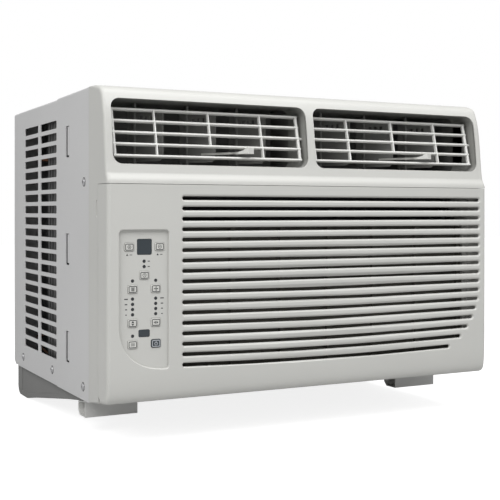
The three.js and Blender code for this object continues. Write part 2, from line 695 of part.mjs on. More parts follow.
function refrigerantLines() {
  const { x, y, radius, high } = COMPRESSOR;
  const [left] = OUTDOOR_COIL.x;
  const depth = (OUTDOOR_COIL.y[0] + OUTDOOR_COIL.y[1]) / 2;
  const angle = THREE.MathUtils.degToRad(250);
  const join = (reach) => [x + reach * Math.cos(angle), y + reach * Math.sin(angle), 70];
  const suction = tube([
    [COIL.x[0] - 1, 80, 45], [-168, 82, 45], [SUCTION_HOLE.x, 110, 45], [SUCTION_HOLE.x, 173, 45],
    [SUCTION_HOLE.x + 1, 190, 58], join(radius + 5), join(radius + 0.8),
  ], 4.5, 22);
  const discharge = tube([
    [x, y, high + 0.6], [x, y, high + 20], [x - 6, y + 20, high + 80], [x - 40, y + 66, high + 120],
    [left - 14, depth - 8, high + 126], [left - 8, depth, high + 126], [left - 0.8, depth, high + 126],
  ], 3, 22);
  const capillary = tube([
    [left - 0.8, depth, 30], [left - 8, depth, 30], [left - 14, depth - 20, 26], [-216, 250, 16],
    [CAPILLARY_HOLE.x - 8, 200, CAPILLARY_HOLE.z], [CAPILLARY_HOLE.x, 173, CAPILLARY_HOLE.z],
    [CAPILLARY_HOLE.x + 8, 130, CAPILLARY_HOLE.z], [-165, 78, 20], [COIL.x[0] - 0.8, 76, 20],
  ], 1.6, 26);
  return [
    mesh('suction_line', suction, COLOURS.copper),
    mesh('discharge_line', discharge, COLOURS.copper),
    mesh('capillary_tube', capillary, COLOURS.copper),
  ];
}

// ---- Indoor half: filter, sensor, control box and panel -------------------------------------

function airFilter() {
  const { x, y, z, frame, columns, rows } = FILTER;
  const stepX = (x[1] - x[0] - frame) / columns;
  const stepZ = (z[1] - z[0] - frame) / rows;
  const holes = [];
  for (let i = 0; i < columns; i += 1) {
    for (let j = 0; j < rows; j += 1) {
      const left = x[0] + frame + i * stepX;
      const low = z[0] + frame + j * stepZ;
      holes.push(box([left, left + stepX - frame], [y[0] - 1, y[1] - FILTER.mesh],
        [low, low + stepZ - frame]));
    }
  }
  const tab = box(FILTER_TAB.x, FILTER_TAB.y, FILTER_TAB.z);
  return mesh('air_filter', cut(box(x, y, z).add(tab), holes), COLOURS.filter);
}

function temperatureSensor() {
  const clip = box([-112, -106], [50, COIL.y[0] - GAP], [150, 158]);
  const bulb = alongX(disc(53, 154, 3), -124, -94, 4);
  return mesh('temperature_sensor', clip.add(bulb), COLOURS.copper);
}

function controlBox() {
  const { x, y, z, wall } = CONTROL_BOX;
  const hollow = box([x[0] + wall, x[1] - wall], [y[0] - 1, y[1] - wall], [z[0] + wall, z[1] - wall]);
  return mesh('control_box', box(x, y, z).subtract(hollow), COLOURS.zinc);
}

function controlBoard() {
  const plate = box([-226, -165], [10, 11.6], [26, 178]);
  const relays = [40, 66, 120].map((z) => box([-218, -200], [11, 26], [z, z + 16]));
  return mesh('control_board', union([plate, ...relays]), COLOURS.board);
}

function runCapacitor() {
  const body = alongZ(disc(-182, 40, 14), 70, 132, 6);
  const posts = [-187, -177].map((x) => alongZ(disc(x, 40, 2), 131, 139, 3));
  return mesh('run_capacitor', union([body, ...posts]), COLOURS.zinc);
}

// A cap that shows through the control panel and a wider lip behind it that keeps it in.
function keptCap(name, { x, z, width, height, front, lip }, material) {
  const cap = rounded(x - width / 2, x + width / 2, z - height / 2, z + height / 2, 1.5);
  const flange = box([x - width / 2 - lip, x + width / 2 + lip], [BUTTON.flangeAt, BUTTON.back],
    [z - height / 2 - lip, z + height / 2 + lip]);
  return mesh(name, alongY(cap, front, BUTTON.flangeAt + 0.2, 1).add(flange), material);
}

function controlPanel() {
  const hole = (x, z, width, height) => alongY(
    rounded(x - width / 2 - BUTTON.play, x + width / 2 + BUTTON.play, z - height / 2 - BUTTON.play,
      z + height / 2 + BUTTON.play, 1.6), FASCIA.y[0] - 1, FASCIA.y[1] + 1, 1);
  const holes = Object.values(BUTTONS).map(([x, z]) => hole(x, z, BUTTON.width, BUTTON.height));
  holes.push(hole(DISPLAY.x, DISPLAY.z, DISPLAY.width, DISPLAY.height));
  holes.push(hole(IR_WINDOW.x, IR_WINDOW.z, IR_WINDOW.width, IR_WINDOW.height));
  for (const [x, z] of LEDS) {
    holes.push(alongY(disc(x, z, LED_RADIUS + BUTTON.play), FASCIA.y[0] - 1, FASCIA.y[1] + 1, 3));
  }
  return mesh('control_panel', cut(box(FASCIA.x, FASCIA.y, FASCIA.z), holes), COLOURS.bezel);
}

function ledLightGuide() {
  const plate = box([-212, -179], [7.6, 8.8], [62, 144]);
  const pegs = LEDS.map(([x, z]) => alongY(disc(x, z, LED_RADIUS), FASCIA.y[0] + 0.2, 8, 3));
  return mesh('led_light_guide', union([plate, ...pegs]), COLOURS.slate);
}

function cordGland() {
  const x = HALF - COVER.inset - COVER.sheet - GAP;
  const neck = alongX(disc(GLAND.y, GLAND.z, GLAND.neck), x - 8, HALF, 4);
  const flange = alongX(disc(GLAND.y, GLAND.z, GLAND.flange), x - 3, x, 4);
  const bore = alongX(disc(GLAND.y, GLAND.z, GLAND.bore), x - 9, HALF + 1, 4);
  return mesh('cord_gland', neck.add(flange).subtract(bore), COLOURS.black);
}

// ---- Side screws ----------------------------------------------------------------------------

function sideScrew(name, side, y, z) {
  const seat = HALF - (y > COVER.step ? COVER.inset : 0) + GAP;
  const dome = [[0, -SCREW.length], [SCREW.shank, -SCREW.length], [SCREW.shank, 0], [SCREW.head, 0],
    [SCREW.head, SCREW.rise * 0.4], [SCREW.head * 0.6, SCREW.rise], [0, SCREW.rise]];
  const made = mesh(name, turned(dome, 0, 0, 10), COLOURS.zinc);
  made.position.set(side * seat, y, z);
  made.rotation.y = (side * Math.PI) / 2;
  return made;
}

// ---- Assembly -------------------------------------------------------------------------------

const assembly = new THREE.Group();
assembly.position.set(0, -DEPTH / 2, PAN_DROP);

assembly.add(
  frontBezel(),
  intakeGrille(),
  cabinetCover(),
  basePan(),
  foot('foot_left', -1),
  foot('foot_right', 1),
  bulkhead(),
  finnedCoil('evaporator_coil', COIL, 12),
  finnedCoil('condenser_coil', OUTDOOR_COIL, 16),
  compressor(),
  ...refrigerantLines(),
  fanMotor(),
  motorBracket(),
  motorShaft(),
  blowerWheel(),
  blowerHousing(),
  dischargeDuct(),
  condenserFan(),
  condenserShroud(),
  airFilter(),
  temperatureSensor(),
  controlBox(),
  controlBoard(),
  runCapacitor(),
  controlPanel(),
  ledLightGuide(),
  keptCap('display_lens', DISPLAY, COLOURS.slate),
  keptCap('ir_window', IR_WINDOW, COLOURS.slate),
  cordGland(),
);

for (const [name, [x, z]] of Object.entries(BUTTONS)) {
  const material = name === 'button_power' ? COLOURS.slate : COLOURS.button;
  assembly.add(keptCap(name, { ...BUTTON, x, z }, material));
}

for (const [word, side] of [['left', -1], ['right', 1]]) {
  const centre = side * OPENING_CENTRE;
  assembly.add(louver(`${word}_louver`, side));
  ['a', 'b', 'c'].forEach((letter, i) => {
    assembly.add(vane(`${word}_vane_${letter}`, centre + (i - 1) * VANE.pitch));
  });
  assembly.add(vaneLever(`${word}_vane_lever`, centre));
  assembly.add(linkBar(`${word}_link_bar`, centre));
  SCREWS.forEach(([y, z], i) => {
    assembly.add(sideScrew(`screw_${word}_${i + 1}`, side, y, z));
  });
}

const airConditioner = new THREE.Group();
airConditioner.add(assembly);

export default airConditioner;
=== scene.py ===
import json
import math

import bmesh
import bpy
from mathutils import Matrix, Vector


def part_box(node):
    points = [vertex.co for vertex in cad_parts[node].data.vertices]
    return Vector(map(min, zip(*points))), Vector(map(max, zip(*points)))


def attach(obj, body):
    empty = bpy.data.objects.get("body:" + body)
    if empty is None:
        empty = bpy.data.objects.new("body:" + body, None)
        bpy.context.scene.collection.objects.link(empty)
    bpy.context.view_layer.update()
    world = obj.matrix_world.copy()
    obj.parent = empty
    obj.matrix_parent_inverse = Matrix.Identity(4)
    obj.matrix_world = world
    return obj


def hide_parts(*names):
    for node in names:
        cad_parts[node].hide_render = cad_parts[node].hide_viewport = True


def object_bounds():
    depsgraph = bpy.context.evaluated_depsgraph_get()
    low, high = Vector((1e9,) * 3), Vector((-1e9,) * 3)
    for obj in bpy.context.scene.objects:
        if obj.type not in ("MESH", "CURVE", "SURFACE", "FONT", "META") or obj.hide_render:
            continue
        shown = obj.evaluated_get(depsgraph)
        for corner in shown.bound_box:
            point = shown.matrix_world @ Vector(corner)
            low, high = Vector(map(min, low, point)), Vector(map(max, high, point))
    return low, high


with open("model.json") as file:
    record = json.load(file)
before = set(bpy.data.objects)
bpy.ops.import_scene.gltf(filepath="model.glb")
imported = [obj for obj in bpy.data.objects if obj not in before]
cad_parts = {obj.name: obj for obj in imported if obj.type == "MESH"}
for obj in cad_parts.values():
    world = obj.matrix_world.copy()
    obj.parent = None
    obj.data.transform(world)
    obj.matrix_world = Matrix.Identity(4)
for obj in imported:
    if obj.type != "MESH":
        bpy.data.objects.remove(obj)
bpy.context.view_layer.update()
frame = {"nodes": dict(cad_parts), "record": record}

# ---- The object's own millimetres ----
# x is across the front, y goes back from the front face and z goes up from the bezel's lower
# edge. place() turns them into the frame's metres.

MM = 0.001
PAN_DROP = 45
FRONT_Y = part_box("intake_grille")[0].y
EDGE_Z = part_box("base_pan")[0].z + PAN_DROP * MM
HALF = round(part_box("front_bezel")[1].x / MM)
ACROSS = (-HALF - 2, HALF + 2, "x")      # right through, from side to side
SIDES = {-1: "left", 1: "right"}


def place(x, y, z):
    return Vector((x * MM, FRONT_Y + y * MM, EDGE_Z + z * MM))


def millimetres(vector):
    return (vector.x / MM, (vector.y - FRONT_Y) / MM, (vector.z - EDGE_Z) / MM)


def span(side, near, far):
    """Two distances from the middle, as the low and the high x on one side."""
    return sorted((side * near, side * far))


# ---- Outlines ----

def arc(cx, cy, radius, start, end, steps):
    """Points on an arc, angles in degrees."""
    points = []
    for i in range(steps + 1):
        angle = math.radians(start + (end - start) * i / steps)
        points.append((cx + radius * math.cos(angle), cy + radius * math.sin(angle)))
    return points


def circle(cx, cy, radius, steps=24):
    return arc(cx, cy, radius, 0, 360, steps)[:-1]


def rounded(left, right, low, high, radius, steps=5):
    """A rounded rectangle, anticlockwise."""
    points = []
    corners = [(right, high, 0), (left, high, 90), (left, low, 180), (right, low, 270)]
    for x, y, start in corners:
        cx = x - radius if x == right else x + radius
        cy = y - radius if y == high else y + radius
        points += arc(cx, cy, radius, start, start + 90, steps)
    return points


def smooth(points, steps):
    """A Catmull-Rom curve through the points."""
    ends = [points[0], *points, points[-1]]
    out = []
    for i in range(1, len(ends) - 2):
        a, b, c, d = (Vector((*p, 0)) for p in ends[i - 1:i + 3])
        for k in range(steps):
            t = k / steps
            p = 0.5 * (2 * b + (c - a) * t + (2 * a - 5 * b + 4 * c - d) * t * t
                       + (3 * b - a - 3 * c + d) * t * t * t)
            out.append((p.x, p.y))
    out.append(tuple(points[-1]))
    return out


def inset(points, distance):
    """The closed outline moved inward, corner by corner. Points run anticlockwise."""
    out = []
    count = len(points)
    for i in range(count):
        before, here, after = (Vector(points[(i + k) % count]) for k in (-1, 0, 1))
        into = (here - before).normalized()
        away = (after - here).normalized()
        side = Vector((-into.y - away.y, into.x + away.x)).normalized()
        reach = distance / max(side.dot(Vector((-into.y, into.x))), 0.3)
        out.append(tuple(here + side * reach))
    return out


# ---- Meshes ----

def link(name, mesh):
    made = bpy.data.objects.new(name, mesh)
    bpy.context.scene.collection.objects.link(made)
    return made


def from_bmesh(name, bm):
    bmesh.ops.recalc_face_normals(bm, faces=bm.faces)
    mesh = bpy.data.meshes.new(name)
    bm.to_mesh(mesh)
    bm.free()
    return link(name, mesh)


def rings_to_bmesh(bm, rings):
    """Skins a list of closed rings of points with quads and caps both ends."""
    rows = [[bm.verts.new(p) for p in ring] for ring in rings]
    count = len(rows[0])
    for low, high in zip(rows, rows[1:]):
        for i in range(count):
            j = (i + 1) % count
            bm.faces.new((low[i], low[j], high[j], high[i]))
    bm.faces.new(rows[0][::-1])
    bm.faces.new(rows[-1])


def skin(name, rings):
    bm = bmesh.new()
    rings_to_bmesh(bm, rings)
    return from_bmesh(name, bm)


AXES = {
    "x": lambda a, b, c: place(c, a, b),   # outline in y, z
    "y": lambda a, b, c: place(a, c, b),   # outline in x, z
    "z": lambda a, b, c: place(a, b, c),   # outline in x, y
}


def prism(name, outline, low, high, axis):
    """An outline extruded along an axis."""
    return prisms(name, [(outline, low, high, axis)])


def tool(*part):
    """One extruded outline that cuts or joins."""
    return prisms("tool", [part])


def prisms(name, parts):
    """Several separate extruded outlines in one mesh."""
    bm = bmesh.new()
    for outline, low, high, axis in parts:
        to = AXES[axis]
        rings_to_bmesh(bm, [[to(a, b, c) for a, b in outline] for c in (low, high)])
    return from_bmesh(name, bm)


def rect(left, right, low, high):
    return [(left, low), (right, low), (right, high), (left, high)]


def block(x, y, z):
    return (rect(x[0], x[1], y[0], y[1]), z[0], z[1], "z")


def apply(made):
    """Makes the modifiers' result the object's own mesh."""
    graph = bpy.context.evaluated_depsgraph_get()
    mesh = bpy.data.meshes.new_from_object(made.evaluated_get(graph))
    old = made.data
    made.modifiers.clear()
    made.data = mesh
    bpy.data.meshes.remove(old)
    return made


def boolean(made, tool, operation):
    modifier = made.modifiers.new("cut", "BOOLEAN")
    modifier.object = tool
    modifier.operation = operation
    modifier.solver = "MANIFOLD"
    apply(made)
    bpy.data.objects.remove(tool)
    return made


def cut(made, tool):
    return boolean(made, tool, "DIFFERENCE")


def keep(made, tool):
    return boolean(made, tool, "INTERSECT")


def add(made, tool):
    return boolean(made, tool, "UNION")


WELD_DISTANCE = 0.00002
FLAT_DEGREES = 1.0


def weld(made):
    """Merges doubled points and dissolves edges between faces that lie flat together."""
    bm = bmesh.new()
    bm.from_mesh(made.data)
    bmesh.ops.remove_doubles(bm, verts=bm.verts, dist=WELD_DISTANCE)
    bmesh.ops.dissolve_limit(bm, angle_limit=math.radians(FLAT_DEGREES), verts=bm.verts,
                             edges=bm.edges)
    bm.to_mesh(made.data)
    bm.free()
    return made


def bevel_where(made, chosen, width, segments=3):
    """Rounds the edges for which chosen(edge) is true."""
    bm = bmesh.new()
    bm.from_mesh(made.data)
    edges = [e for e in bm.edges if chosen(e)]
    bmesh.ops.bevel(bm, geom=edges, offset=width * MM, segments=segments, profile=0.5,
                    affect="EDGES", clamp_overlap=True)
    bm.to_mesh(made.data)
    bm.free()
    return made


def ahead_of(y):
    """Chooses the edges that lie in front of a depth given in millimetres."""
    return lambda edge: all(millimetres(v.co)[1] < y for v in edge.verts)


def soften(made, width, segments, angle=40):
    """A small rounding on every sharp edge."""
    modifier = made.modifiers.new("edges", "BEVEL")
    modifier.width = width * MM
    modifier.segments = segments
    modifier.limit_method = "ANGLE"
    modifier.angle_limit = math.radians(angle)
    modifier.harden_normals = False
    return apply(made)


def shade(made, angle):
    made.data.shade_smooth()
    made.data.set_sharp_from_angle(angle=math.radians(angle))
    modifier = made.modifiers.new("normals", "WEIGHTED_NORMAL")
    modifier.keep_sharp = True
    modifier.weight = 80
    return apply(made)


# ---- Materials ----

GLOSS_SPREAD = 0.06
GRAIN_HEIGHT = 0.0002


MATERIALS = {}


def material(name, color, roughness, metallic=0.0, coat=0.0, grain=0.0, grain_scale=900.0,
             tone=0.03, tone_scale=14.0):
    """A surface with a fine grain bump, slow colour drift and uneven gloss."""
    made = bpy.data.materials.new(name)
    made.use_nodes = True
    nodes, links = made.node_tree.nodes, made.node_tree.links
    shader = nodes["Principled BSDF"]
    shader.inputs["Metallic"].default_value = metallic
    shader.inputs["Coat Weight"].default_value = coat
    shader.inputs["Coat Roughness"].default_value = 0.25
    coordinates = nodes.new("ShaderNodeTexCoord")

    def noise(scale, detail):
        texture = nodes.new("ShaderNodeTexNoise")
        texture.inputs["Scale"].default_value = scale
        texture.inputs["Detail"].default_value = detail
        links.new(coordinates.outputs["Object"], texture.inputs["Vector"])
        return texture

    drift = noise(tone_scale, 4.0)
    ramp = nodes.new("ShaderNodeValToRGB")
    for stop, factor in zip(ramp.color_ramp.elements, (1 - tone, 1 + tone)):
        stop.color = (*[min(c * factor, 1.0) for c in color], 1.0)
    ramp.color_ramp.elements[0].position = 0.3
    ramp.color_ramp.elements[1].position = 0.7
    links.new(drift.outputs["Fac"], ramp.inputs["Fac"])
    links.new(ramp.outputs["Color"], shader.inputs["Base Color"])

    gloss = nodes.new("ShaderNodeMapRange")
    gloss.inputs["To Min"].default_value = max(roughness - GLOSS_SPREAD, 0.02)
    gloss.inputs["To Max"].default_value = min(roughness + GLOSS_SPREAD, 1.0)
    links.new(drift.outputs["Fac"], gloss.inputs["Value"])
    links.new(gloss.outputs["Result"], shader.inputs["Roughness"])
    if grain > 0:
        bump = nodes.new("ShaderNodeBump")
        bump.inputs["Strength"].default_value = grain
        bump.inputs["Distance"].default_value = GRAIN_HEIGHT
        links.new(noise(grain_scale, 2.0).outputs["Fac"], bump.inputs["Height"])
        links.new(bump.outputs["Normal"], shader.inputs["Normal"])
    MATERIALS[name] = made
    return made


material("bezel_plastic", (0.56, 0.56, 0.535), 0.42, grain=0.12, tone=0.012)
material("cabinet_paint", (0.60, 0.60, 0.60), 0.45, coat=0.1, grain=0.25, grain_scale=1400,
         tone=0.015)
material("pan_steel", (0.21, 0.21, 0.205), 0.5, grain=0.2, tone=0.04)
# Painted shade: the galvanised steel inside is drawn dark grey for the shade inside the cabinet.
material("inner_zinc", (0.16, 0.16, 0.16), 0.42, metallic=0.7, tone=0.12, tone_scale=60,
         grain=0.15)
# Painted shade: the coils' aluminium fins are drawn near black for the shade inside the cabinet.
material("coil_fins", (0.12, 0.12, 0.125), 0.4, metallic=0.8, tone=0.1, tone_scale=40,
         grain=0.1)
material("compressor_black", (0.018, 0.018, 0.018), 0.35, coat=0.3, grain=0.3)
material("copper", (0.20, 0.10, 0.06), 0.35, metallic=0.9, tone=0.15, tone_scale=50, grain=0.1)
material("fan_black", (0.02, 0.02, 0.02), 0.5, grain=0.2)
material("foam_white", (0.55, 0.55, 0.53), 0.85, grain=0.8, grain_scale=300)
material("duct_grey", (0.19, 0.19, 0.182), 0.45, grain=0.3, tone=0.1)
material("filter_mesh", (0.085, 0.08, 0.068), 0.8, grain=0.8, grain_scale=500)
material("board_green", (0.03, 0.12, 0.05), 0.5, tone=0.1, tone_scale=80, grain=0.3)
material("dark_window", (0.032, 0.042, 0.05), 0.3, coat=0.3, grain=0.05)
material("lever_white", (0.66, 0.66, 0.63), 0.4, grain=0.1)
material("vane_grey", (0.25, 0.25, 0.24), 0.5, grain=0.25, tone=0.06)
material("button_grey", (0.60, 0.60, 0.57), 0.5, grain=0.15, tone=0.012)
material("screw_steel", (0.62, 0.62, 0.63), 0.28, metallic=0.9, tone=0.1, tone_scale=300,
         grain=0.1)
# Painted shade: the outlet sleeves are bezel plastic, drawn in this darker grey for the shade
# inside the openings.
material("sleeve_painted_shade", (0.27, 0.27, 0.255), 0.5, grain=0.2, tone=0.05)
material("foot_zinc", (0.72, 0.72, 0.70), 0.4, grain=0.2, tone=0.04)
# Painted light: a lighter copy of the bezel plastic, so the louvers read lit inside the openings.
material("louver_painted_light", (0.74, 0.74, 0.715), 0.38, grain=0.1, tone=0.012)
material("print_light", (0.45, 0.47, 0.5), 0.5, grain=0.1)
material("print_ink", (0.028, 0.03, 0.034), 0.55, grain=0.1)


def finish_piece(made, slot, *nodes, body="chassis", look=None, angle=40):
    """Shades a piece, gives it the look's material or else its slot's, puts it in its body and
    hides the CAD nodes it stands for.
    """
    if angle:
        shade(made, angle)
    made.data.materials.clear()
    made.data.materials.append(MATERIALS[look or slot])
    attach(made, body)
    if nodes:
        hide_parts(*nodes)
    return made


# ---- Front bezel and intake grille ----

BACK = 57
TOP = 318
BOTTOM = -6
WALL = 2.6
SEAM_Z = 217
EDGE_RADIUS = 4
LEAST_ROUND, ROUND_REACH = 0.25, 24      # the side edge's roundness at the rear, and its run
SEAM_GAP = 0.45
SLEEVE_WALL = 1.5
FILTER_SLOT = (31.8, 40.2, 12, 180)
FINGER_DENT = (29.6, 34.4, 184.5, 201.5)
OPENING = {"inner": 4.5, "outer": 227, "low": 237, "high": 303, "radius": 10}


def front_profile():
    """The side view of the front, anticlockwise from the rear bottom corner: y, z."""
    crown = smooth([(BACK, TOP), (47, 317.9), (36, 316.8), (27, 314.8), (20.5, 311.5),
                    (16.5, 304.5), (11.8, 289), (8.6, 266), (7, 250), (6.1, 240)], 5)
    brow = smooth([(6.1, 240), (5.6, 236.5), (4.9, 232.5), (4.45, 229.6), (4.0, 227.6),
                   (2.9, 225.4), (1.5, 223), (0.5, 220.4), (0.05, SEAM_Z)], 3)
    foot = smooth([(0, 150), (0, 60), (0.15, 36), (0.8, 18), (2.2, 7), (5, 1.9), (9, 0.1),
                   (14, -0.7)], 4)
    return [(BACK, BOTTOM), *crown, *brow[1:], *foot]


def soften_corner(at, moved, back):
    """The side edge is nearly sharp along the rear of the top and full at the front."""
    share = LEAST_ROUND + (1 - LEAST_ROUND) * min(max((back - at[0]) / ROUND_REACH, 0), 1)
    y = at[0] + (moved[0] - at[0]) * share
    z = at[1] + (moved[1] - at[1]) * share
    return (back if at[0] >= back - 1e-6 else y), z


def rounded_body(name, profile, half, radius, steps, back):
    """A profile carried along x, its side edges rounded, its rear edge left square."""
    rings = []
    stations = [(-1, i) for i in range(steps + 1)] + [(1, steps - i) for i in range(steps + 1)]
    for side, i in stations:
        angle = math.radians(90 * i / steps)
        depth = radius * (1 - math.sin(angle))
        x = side * (half - radius * (1 - math.cos(angle)))
        ring = inset(profile, depth) if depth > 1e-6 else profile
        rings.append([place(x, *soften_corner(at, moved, back))
                      for moved, at in zip(ring, profile)])
    return skin(name, rings)


def front_shell(name):
    profile = front_profile()
    outer = rounded_body(name, profile, HALF, EDGE_RADIUS, 5, BACK)
    hollow = [(BACK + 3 if y0 >= BACK else y, z)
              for (y, z), (y0, _) in zip(inset(profile, WALL), profile)]
    inner = rounded_body("hollow", hollow, HALF - WALL, 2.4, 3, BACK + 3)
    return cut(outer, inner)


def seam_region(grow):
    return [(-3, -12), (22.5 + grow, -12), (22.5 + grow, 3), (28 + grow, 6),
            (28 + grow, SEAM_Z + grow), (-3, SEAM_Z + grow)]


def opening_outline(side, grow):
    left, right = span(side, OPENING["inner"], OPENING["outer"])
    return rounded(left - grow, right + grow, OPENING["low"] - grow, OPENING["high"] + grow,
                   OPENING["radius"] + grow, 8)


def build_bezel():
    made = front_shell("bezel")
    cut(made, tool(seam_region(SEAM_GAP), *ACROSS))
    cut(made, tool(rect(-2, 27.4, -14, 6), *ACROSS))
    cut(made, tool(rect(-2, 30, -14, 8), -HALF + WALL, HALF - WALL, "x"))
    mouths = [(opening_outline(side, 0), -4, BACK + 9, "y") for side in SIDES]
    cut(made, prisms("tool", mouths))
    sleeves = prisms("outlet_sleeves",
                     [(opening_outline(side, SLEEVE_WALL), 0, 52, "y") for side in SIDES])
    within = inset(front_profile(), 1.6)
    keep(sleeves, rounded_body("tool", within, HALF - 2, EDGE_RADIUS, 5, BACK - 2))
    cut(sleeves, prisms("tool", mouths))
    # The sleeves are bezel plastic; their darker grey is painted shade.
    finish_piece(sleeves, "bezel_plastic", look="sleeve_painted_shade")
    shelf = rect(0.6, BACK - 0.5, SEAM_Z + SEAM_GAP, SEAM_Z + 2.6)
    add(made, tool(shelf, -HALF + 1.2, HALF - 1.2, "x"))
    cut(made, tool(rect(*FILTER_SLOT), HALF - 5, HALF + 2, "x"))
    cut(made, prisms("tool", [(rounded(*FINGER_DENT, 2.3), *span(side, HALF - 0.7, HALF + 2), "x")
                              for side in SIDES]))
    weld(made)
    soften(made, 0.45, 2)
    finish_piece(made, "bezel_plastic", "front_bezel", angle=32)


SLOTS = {"count": 17, "pitch": 10.52, "first": 203.4, "height": 3.8, "flare": 2.5, "sag": 3.6,
         "left": -155, "right": 225.5}
SLOT_ARC = {"x": 149.5, "z": 104, "radius": 76}
WINDOW = {"left": -222.5, "right": -170, "low": 33, "high": 171.5}


def slot_right(z):
    """The slots' right ends follow the side, then a wide arc at the lower corner."""
    drop = SLOT_ARC["z"] - z
    if drop <= 0:
        return SLOTS["right"]
    return SLOT_ARC["x"] + math.sqrt(SLOT_ARC["radius"] ** 2 - drop ** 2)


def slot_outline(z, grow=0.0):
    half = SLOTS["height"] / 2 + grow
    return rounded(SLOTS["left"] - grow, slot_right(z) + grow, z - half, z + half, half - 0.01, 4)


def window_outline(grow=0.0):
    """The control window: square at the top, one long sweep at its lower left."""
    left, right = WINDOW["left"] - grow, WINDOW["right"] + grow
    low, high = WINDOW["low"] - grow, WINDOW["high"] + grow
    sweep = []
    bends = ((left, 76), (left, 50), (-205, low), (right - 3, low))
    for i in range(15):
        t = i / 14
        sweep.append(tuple((1 - t) ** 3 * a + 3 * (1 - t) ** 2 * t * b
                           + 3 * (1 - t) * t * t * c + t ** 3 * d for a, b, c, d in zip(*bends)))
    return (arc(right - 4, high - 4, 4, 0, 90, 5) + arc(left + 4, high - 4, 4, 90, 180, 5) + sweep
            + arc(right - 3, low + 3, 3, 270, 360, 4)[1:])


def bowed(outline):
    """Lets a slot sag in its middle, more towards the panel's foot, as the real ones do."""
    centre = (SLOTS["left"] + SLOTS["right"]) / 2
    reach = (SLOTS["right"] - SLOTS["left"]) / 2
    points = []
    for (x0, z0), (x1, z1) in zip(outline, outline[1:] + outline[:1]):
        pieces = max(1, round(abs(x1 - x0) / 16))
        points += [(x0 + (x1 - x0) * k / pieces, z0 + (z1 - z0) * k / pieces)
                   for k in range(pieces)]
    level = sum(z for _, z in points) / len(points)
    sag = max(0, SLOTS["sag"] * (SLOTS["first"] - level) / (SLOTS["first"] - 35))
    return [(x, z - sag * (1 - ((x - centre) / reach) ** 2)) for x, z in points]


def slot_tool(z):
    """A slot with a flared mouth, so that the bars between slots are rounded at the front."""
    flare = SLOTS["flare"]
    stages = [(-2, flare)]
    for k in range(7):
        angle = math.radians(15 * k)
        stages.append((flare * (1 - math.cos(angle)), flare * (1 - math.sin(angle))))
    stages.append((7, 0))
    return skin("tool", [[place(x, y, h) for x, h in bowed(slot_outline(z, grow))]
                         for y, grow in stages])


def build_grille():
    made = front_shell("grille_panel")
    keep(made, tool(seam_region(0), *ACROSS))
    add(made, tool(window_outline(1.6), WALL - 0.4, 3.05, "y"))
    for k in range(SLOTS["count"]):
        cut(made, slot_tool(SLOTS["first"] - k * SLOTS["pitch"]))
    cut(made, tool(window_outline(), -2, 8, "y"))
    weld(made)
    bevel_where(made, in_window_mouth, 1.3, 4)
    finish_piece(made, "bezel_plastic", "intake_grille", body="panel")


def in_window_mouth(edge):
    points = [millimetres(v.co) for v in edge.verts]
    if any(y > 0.25 for _, y, _ in points):
        return False
    return all(WINDOW["left"] - 1.5 < x < WINDOW["right"] + 2
               and WINDOW["low"] - 2 < z < WINDOW["high"] + 1.5 for x, _, z in points)


# ---- Cabinet cover ----

COVER_FRONT = 57.4
STEP_Y, STEP_IN = 172, 0.8               # behind this depth the cover is this much narrower
REAR_Y = 366
SHEET = 1.2
LOW_CORNER = 14
GLAND_HOLE = (90, 20, 6.8)
COIL_WINDOW = (-196, 216, 24, 296, 10)
STRAPS, STRAP_HEIGHT = (104, 200), 12
VENT = {"rows": 20, "pitch": 13.7, "top": 292.5, "height": 9, "columns": [(175, 241), (251, 312)]}
LANCE = {"front": 118.6, "back": 136.8, "tab": 6, "height": 34, "lows": (26, 131.9, 248.8)}
SCREWS = [(73, 220.5), (76, 8), (192, 9.4), (319.5, 7.8)]


def cover_body(name, inward, back_shift):
    """The folded sheet's outer form, drawn section by section from the bezel to the rear."""
    stations = [(COVER_FRONT - (3 if inward else 0), 0, 317.8), (STEP_Y - 2, 0, 316.6),
                (STEP_Y + 0.6, STEP_IN, 315.8), (344, STEP_IN, 315.2), (346, 1.4, 314.8),
                (352, 1.4, 314.8), (354, STEP_IN, 315.1), (363.5 - back_shift, STEP_IN, 314.9),
                (365.3 - back_shift, 1.5, 314.3), (REAR_Y - back_shift, 3, 312.8)]
    rings = []
    for y, step, top in stations:
        half = HALF - step - inward
        high = top - inward
        low = BOTTOM - (20 if inward else 0)
        corner = 2.6 - min(inward, 1.2)
        outline = [(-half, low), (half, low)]
        outline += arc(half - corner, high - corner, corner, 0, 90, 4)
        outline += arc(-half + corner, high - corner, corner, 90, 180, 4)
        rings.append([place(x, y, z) for x, z in outline])
    return skin(name, rings)


def vent_holes():
    holes = []
    for low, high in VENT["columns"]:
        for row in range(VENT["rows"]):
            base = VENT["top"] - VENT["height"] - row * VENT["pitch"]
            outline = rounded(low, high, base, base + VENT["height"], 1.9, 3)
            holes.append((outline, *ACROSS))
    return holes


def build_cover():
    made = cut(cover_body("cover", 0, 0), cover_body("tool", SHEET, SHEET))
    radius, rear = LOW_CORNER, REAR_Y + 2
    corner = [(rear, BOTTOM - 2), (rear, BOTTOM + radius),
              *arc(REAR_Y - radius, BOTTOM + radius, radius, 0, -90, 8),
              (REAR_Y - radius, BOTTOM - 2)]
    cut(made, tool(corner, *ACROSS))
    cut(made, prisms("tool", vent_holes()))
    cut(made, prisms("tool", [(rounded(LANCE["front"] + LANCE["tab"], LANCE["back"], low,
                                       low + LANCE["height"], 0.8, 2), *ACROSS)
                              for low in LANCE["lows"]]))
    cut(made, prisms("tool", [(circle(y, z, 2, 12), *ACROSS) for y, z in SCREWS]))
    cut(made, tool(circle(*GLAND_HOLE, 20), 100, HALF + 2, "x"))
    behind = (REAR_Y - 5, REAR_Y + 3)
    straps = [block((-197, 217), behind, (z, z + STRAP_HEIGHT)) for z in STRAPS]
    cut(made, cut(tool(rounded(*COIL_WINDOW, 6), *behind, "y"), prisms("tool", straps)))
    weld(made)
    soften(made, 0.3, 1, 50)
    finish_piece(made, "cabinet_paint", "cabinet_cover")


